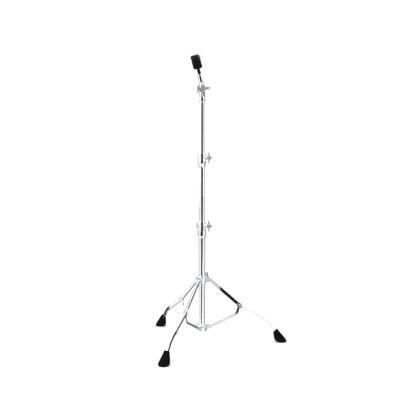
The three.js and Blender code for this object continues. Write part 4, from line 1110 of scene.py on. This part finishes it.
def world():
    """a white studio as polished metal sees it: a dark gap behind the camera, grey flats at the
    sides and a few small dark flags; the camera itself sees plain white"""
    w = bpy.data.worlds.new("studio")
    bpy.context.scene.world = w
    w.use_nodes = True
    nt = w.node_tree
    nt.nodes.clear()
    out = nt.nodes.new("ShaderNodeOutputWorld")
    tex = nt.nodes.new("ShaderNodeTexCoord")
    sep = nt.nodes.new("ShaderNodeSeparateXYZ")
    nt.links.new(tex.outputs["Generated"], sep.inputs[0])

    def math_(op, a, b=None):
        nd = nt.nodes.new("ShaderNodeMath")
        nd.operation = op
        for i, v in enumerate((a, b)):
            if v is None:
                continue
            if isinstance(v, (int, float)):
                nd.inputs[i].default_value = v
            else:
                nt.links.new(v, nd.inputs[i])
        return nd.outputs[0]

    def step(x, lo, hi, a=0.0, b=1.0):
        """x from lo to hi gives a to b, clamped"""
        nd = nt.nodes.new("ShaderNodeMapRange")
        nt.links.new(x, nd.inputs[0])
        for i, v in enumerate((lo, hi, a, b)):
            nd.inputs[1 + i].default_value = v
        return nd.outputs[0]

    def box(x, lo, hi, soft):
        return math_("MINIMUM", step(x, lo - soft, lo), step(x, hi, hi + soft, 1.0, 0.0))

    def table(x, pairs, lo=-100.0, hi=100.0):
        """piecewise straight function of x"""
        nd = nt.nodes.new("ShaderNodeValToRGB")
        el_ = nd.color_ramp.elements
        while len(el_) < len(pairs):
            el_.new(0.5)
        x0, x1 = pairs[0][0], pairs[-1][0]
        for e, (px, pv) in zip(el_, pairs):
            e.position = (px - x0) / (x1 - x0)
            c = (pv - lo) / (hi - lo)
            e.color = (c, c, c, 1)
        nt.links.new(step(x, x0, x1), nd.inputs["Fac"])
        return step(nd.outputs["Color"], 0.0, 1.0, lo, hi)

    def dot(v):
        return math_("ADD", math_("ADD", math_("MULTIPLY", along, v[0]), math_("MULTIPLY", across, v[1])), math_("MULTIPLY", sep.outputs[2], v[2]))

    # azimuth from the direction of the camera, degrees, positive to its right
    a = math.radians(FRONT)
    fx, fy = math.cos(a), math.sin(a)
    along = math_("ADD", math_("MULTIPLY", sep.outputs[0], fx), math_("MULTIPLY", sep.outputs[1], fy))
    across = math_("ADD", math_("MULTIPLY", sep.outputs[0], -fy), math_("MULTIPLY", sep.outputs[1], fx))
    az = math_("MULTIPLY", math_("ARCTAN2", across, along), 57.29578)
    el = math_("MULTIPLY", math_("ARCSINE", sep.outputs[2]), 57.29578)

    def both(*masks):
        m = masks[0]
        for k in masks[1:]:
            m = math_("MULTIPLY", m, k)
        return m

    left = table(el, [(-19, -42), (-14, -42), (-13, -39.5), (-10, -36), (-9, -37.4), (-7, -38), (-5, -37), (-3, -41), (-1.5, -43), (1, -41), (1.3, -26), (6, -15), (12, -8)])
    right = table(el, [(-19, -12), (-14, 0), (-13, 5), (-10, 21.5), (-9, 24), (-7, 33), (-5.3, 39), (-4.6, 51), (-3, 62), (-1.5, 68), (1, 75), (1.25, 48), (2, 46), (6, 24), (12, 10)])
    gap = math_("MINIMUM", step(math_("SUBTRACT", az, left), -3, 3), step(math_("SUBTRACT", az, right), -3, 3, 1.0, 0.0))
    # opening in the gap for the top faces of the right leg
    gap = math_("MULTIPLY", gap, math_("SUBTRACT", 1.0, both(box(az, 7.9, 11.5, 0.4), box(el, -14.6, -10.9, 0.3))))
    level = step(el, -40, 30, 1.12, 1.20)
    side = table(el, [(-16, 34), (-14, 35), (-13, 42), (-10, 66), (-5, 72), (0, 72), (5, 78), (12, 95)], 0, 100)
    darks = [
        (both(gap, box(el, -17, 13, 3)), 0.975),
        (both(box(az, -112, -76, 8), box(el, -16, 8, 4)), 0.05),
        # flags seen in the flats of the right leg and its brace
        (both(box(az, 8.2, 9.58, 0.15), box(el, -13.5, -11, 0.3)), 0.38),
        (both(box(az, 8.2, 10.75, 0.2), box(el, -16, -14.3, 0.1)), 0.20),
        (both(box(az, 9.62, 11.1, 0.1), box(el, -14.25, -11.5, 0.12)), 0.985),
        # and in those of the two left legs
        (both(box(az, -155, -114.15, 0.08), box(el, -17, -7, 0.5), box(dot((-0.4921, -0.3336, -0.8041)), 0.627, 0.747, 0.02)), 0.98),
        (both(box(az, 120, 131, 1.5), box(el, -15.45, -9, 0.4)), 0.80),
        (both(box(az, 120, 131, 1.5), box(el, -19, -15.6, 0.1)), 0.985),
        (both(box(az, -62, 122, 4), box(el, -14, 60, 5), box(dot((0.535, -0.2596, -0.804)), -0.36, -0.25, 0.02)), 0.96),
    ]
    darks += [
        # side, lower chamfer and front flat of the tilter's rear block
        (both(box(az, -150, -98, 4), box(el, 1.2, 2.35, 0.06)), 0.80),
        (both(box(az, 95, 150, 5), box(el, -72, -42, 4)), 0.93),
        (both(box(az, 54, 80, 3), box(el, 9, 26, 2)), 0.62),
        (both(box(az, 90, 170, 6), box(el, 1.25, 3.4, 0.1)), 0.50),
        # upper part of the front left leg's top face
        (both(box(az, -104, -96, 1), box(el, 60, 65, 1)), 0.40),
    ]
    for mask, depth in darks:
        level = math_("MULTIPLY", level, math_("SUBTRACT", 1.0, math_("MULTIPLY", mask, depth)))
    flat = both(box(az, 72, 114, 6), step(side, 0, 100, 1.0, 0.0))
    level = math_("MULTIPLY", level, math_("SUBTRACT", 1.0, flat))
    lp = nt.nodes.new("ShaderNodeLightPath")
    refl = nt.nodes.new("ShaderNodeBackground")
    nt.links.new(level, refl.inputs["Strength"])
    refl.inputs["Color"].default_value = (1, 1, 1, 1)
    plain = nt.nodes.new("ShaderNodeBackground")
    plain.inputs["Color"].default_value = (1, 1, 1, 1)
    plain.inputs["Strength"].default_value = 1.02
    mix = nt.nodes.new("ShaderNodeMixShader")
    nt.links.new(lp.outputs["Is Camera Ray"], mix.inputs[0])
    nt.links.new(refl.outputs[0], mix.inputs[1])
    nt.links.new(plain.outputs[0], mix.inputs[2])
    nt.links.new(mix.outputs[0], out.inputs["Surface"])


world()


def area(name, az, dist, z, size, power, aim):
    a = math.radians(FRONT + az)
    loc = Vector((MAST_X / 1000 + dist * math.cos(a), dist * math.sin(a), z))
    li = bpy.data.lights.new(name, "AREA")
    li.shape = "RECTANGLE"
    li.size, li.size_y = size
    li.energy = power
    o = bpy.data.objects.new(name, li)
    o.location = loc
    o.rotation_euler = (Vector(aim) - loc).to_track_quat("-Z", "Y").to_euler()
    bpy.context.scene.collection.objects.link(o)
    return o


area("softbox_top", 0, 0.4, 2.6, (2.2, 2.2), 14, (MAST_X / 1000, 0, 0))
area("softbox_left", -62, 2.4, 1.3, (0.8, 1.8), 12, (MAST_X / 1000, 0, 0.6))
area("softbox_right", 50, 2.6, 1.2, (0.7, 1.8), 8, (MAST_X / 1000, 0, 0.6))

cam = bpy.data.cameras.new("camera")
cam.sensor_width = 36.0
cam.sensor_fit = "HORIZONTAL"
cam.lens = 802.23 / 400 * 36.0
cam.clip_end = 30
co = bpy.data.objects.new("camera", cam)
co.location = ((MAST_X - 235.9) / 1000, -3.2646, 0.9609)
A = math.radians(86.016)
P = math.radians(6.252)
fwd = Vector((math.cos(A) * math.cos(P), math.sin(A) * math.cos(P), -math.sin(P)))
co.rotation_euler = fwd.to_track_quat("-Z", "Y").to_euler()
bpy.context.scene.collection.objects.link(co)
bpy.context.scene.camera = co

vs = bpy.context.scene.view_settings
vs.view_transform = "Standard"
vs.look = "None"
vs.exposure = 0.0
vs.gamma = 1.0
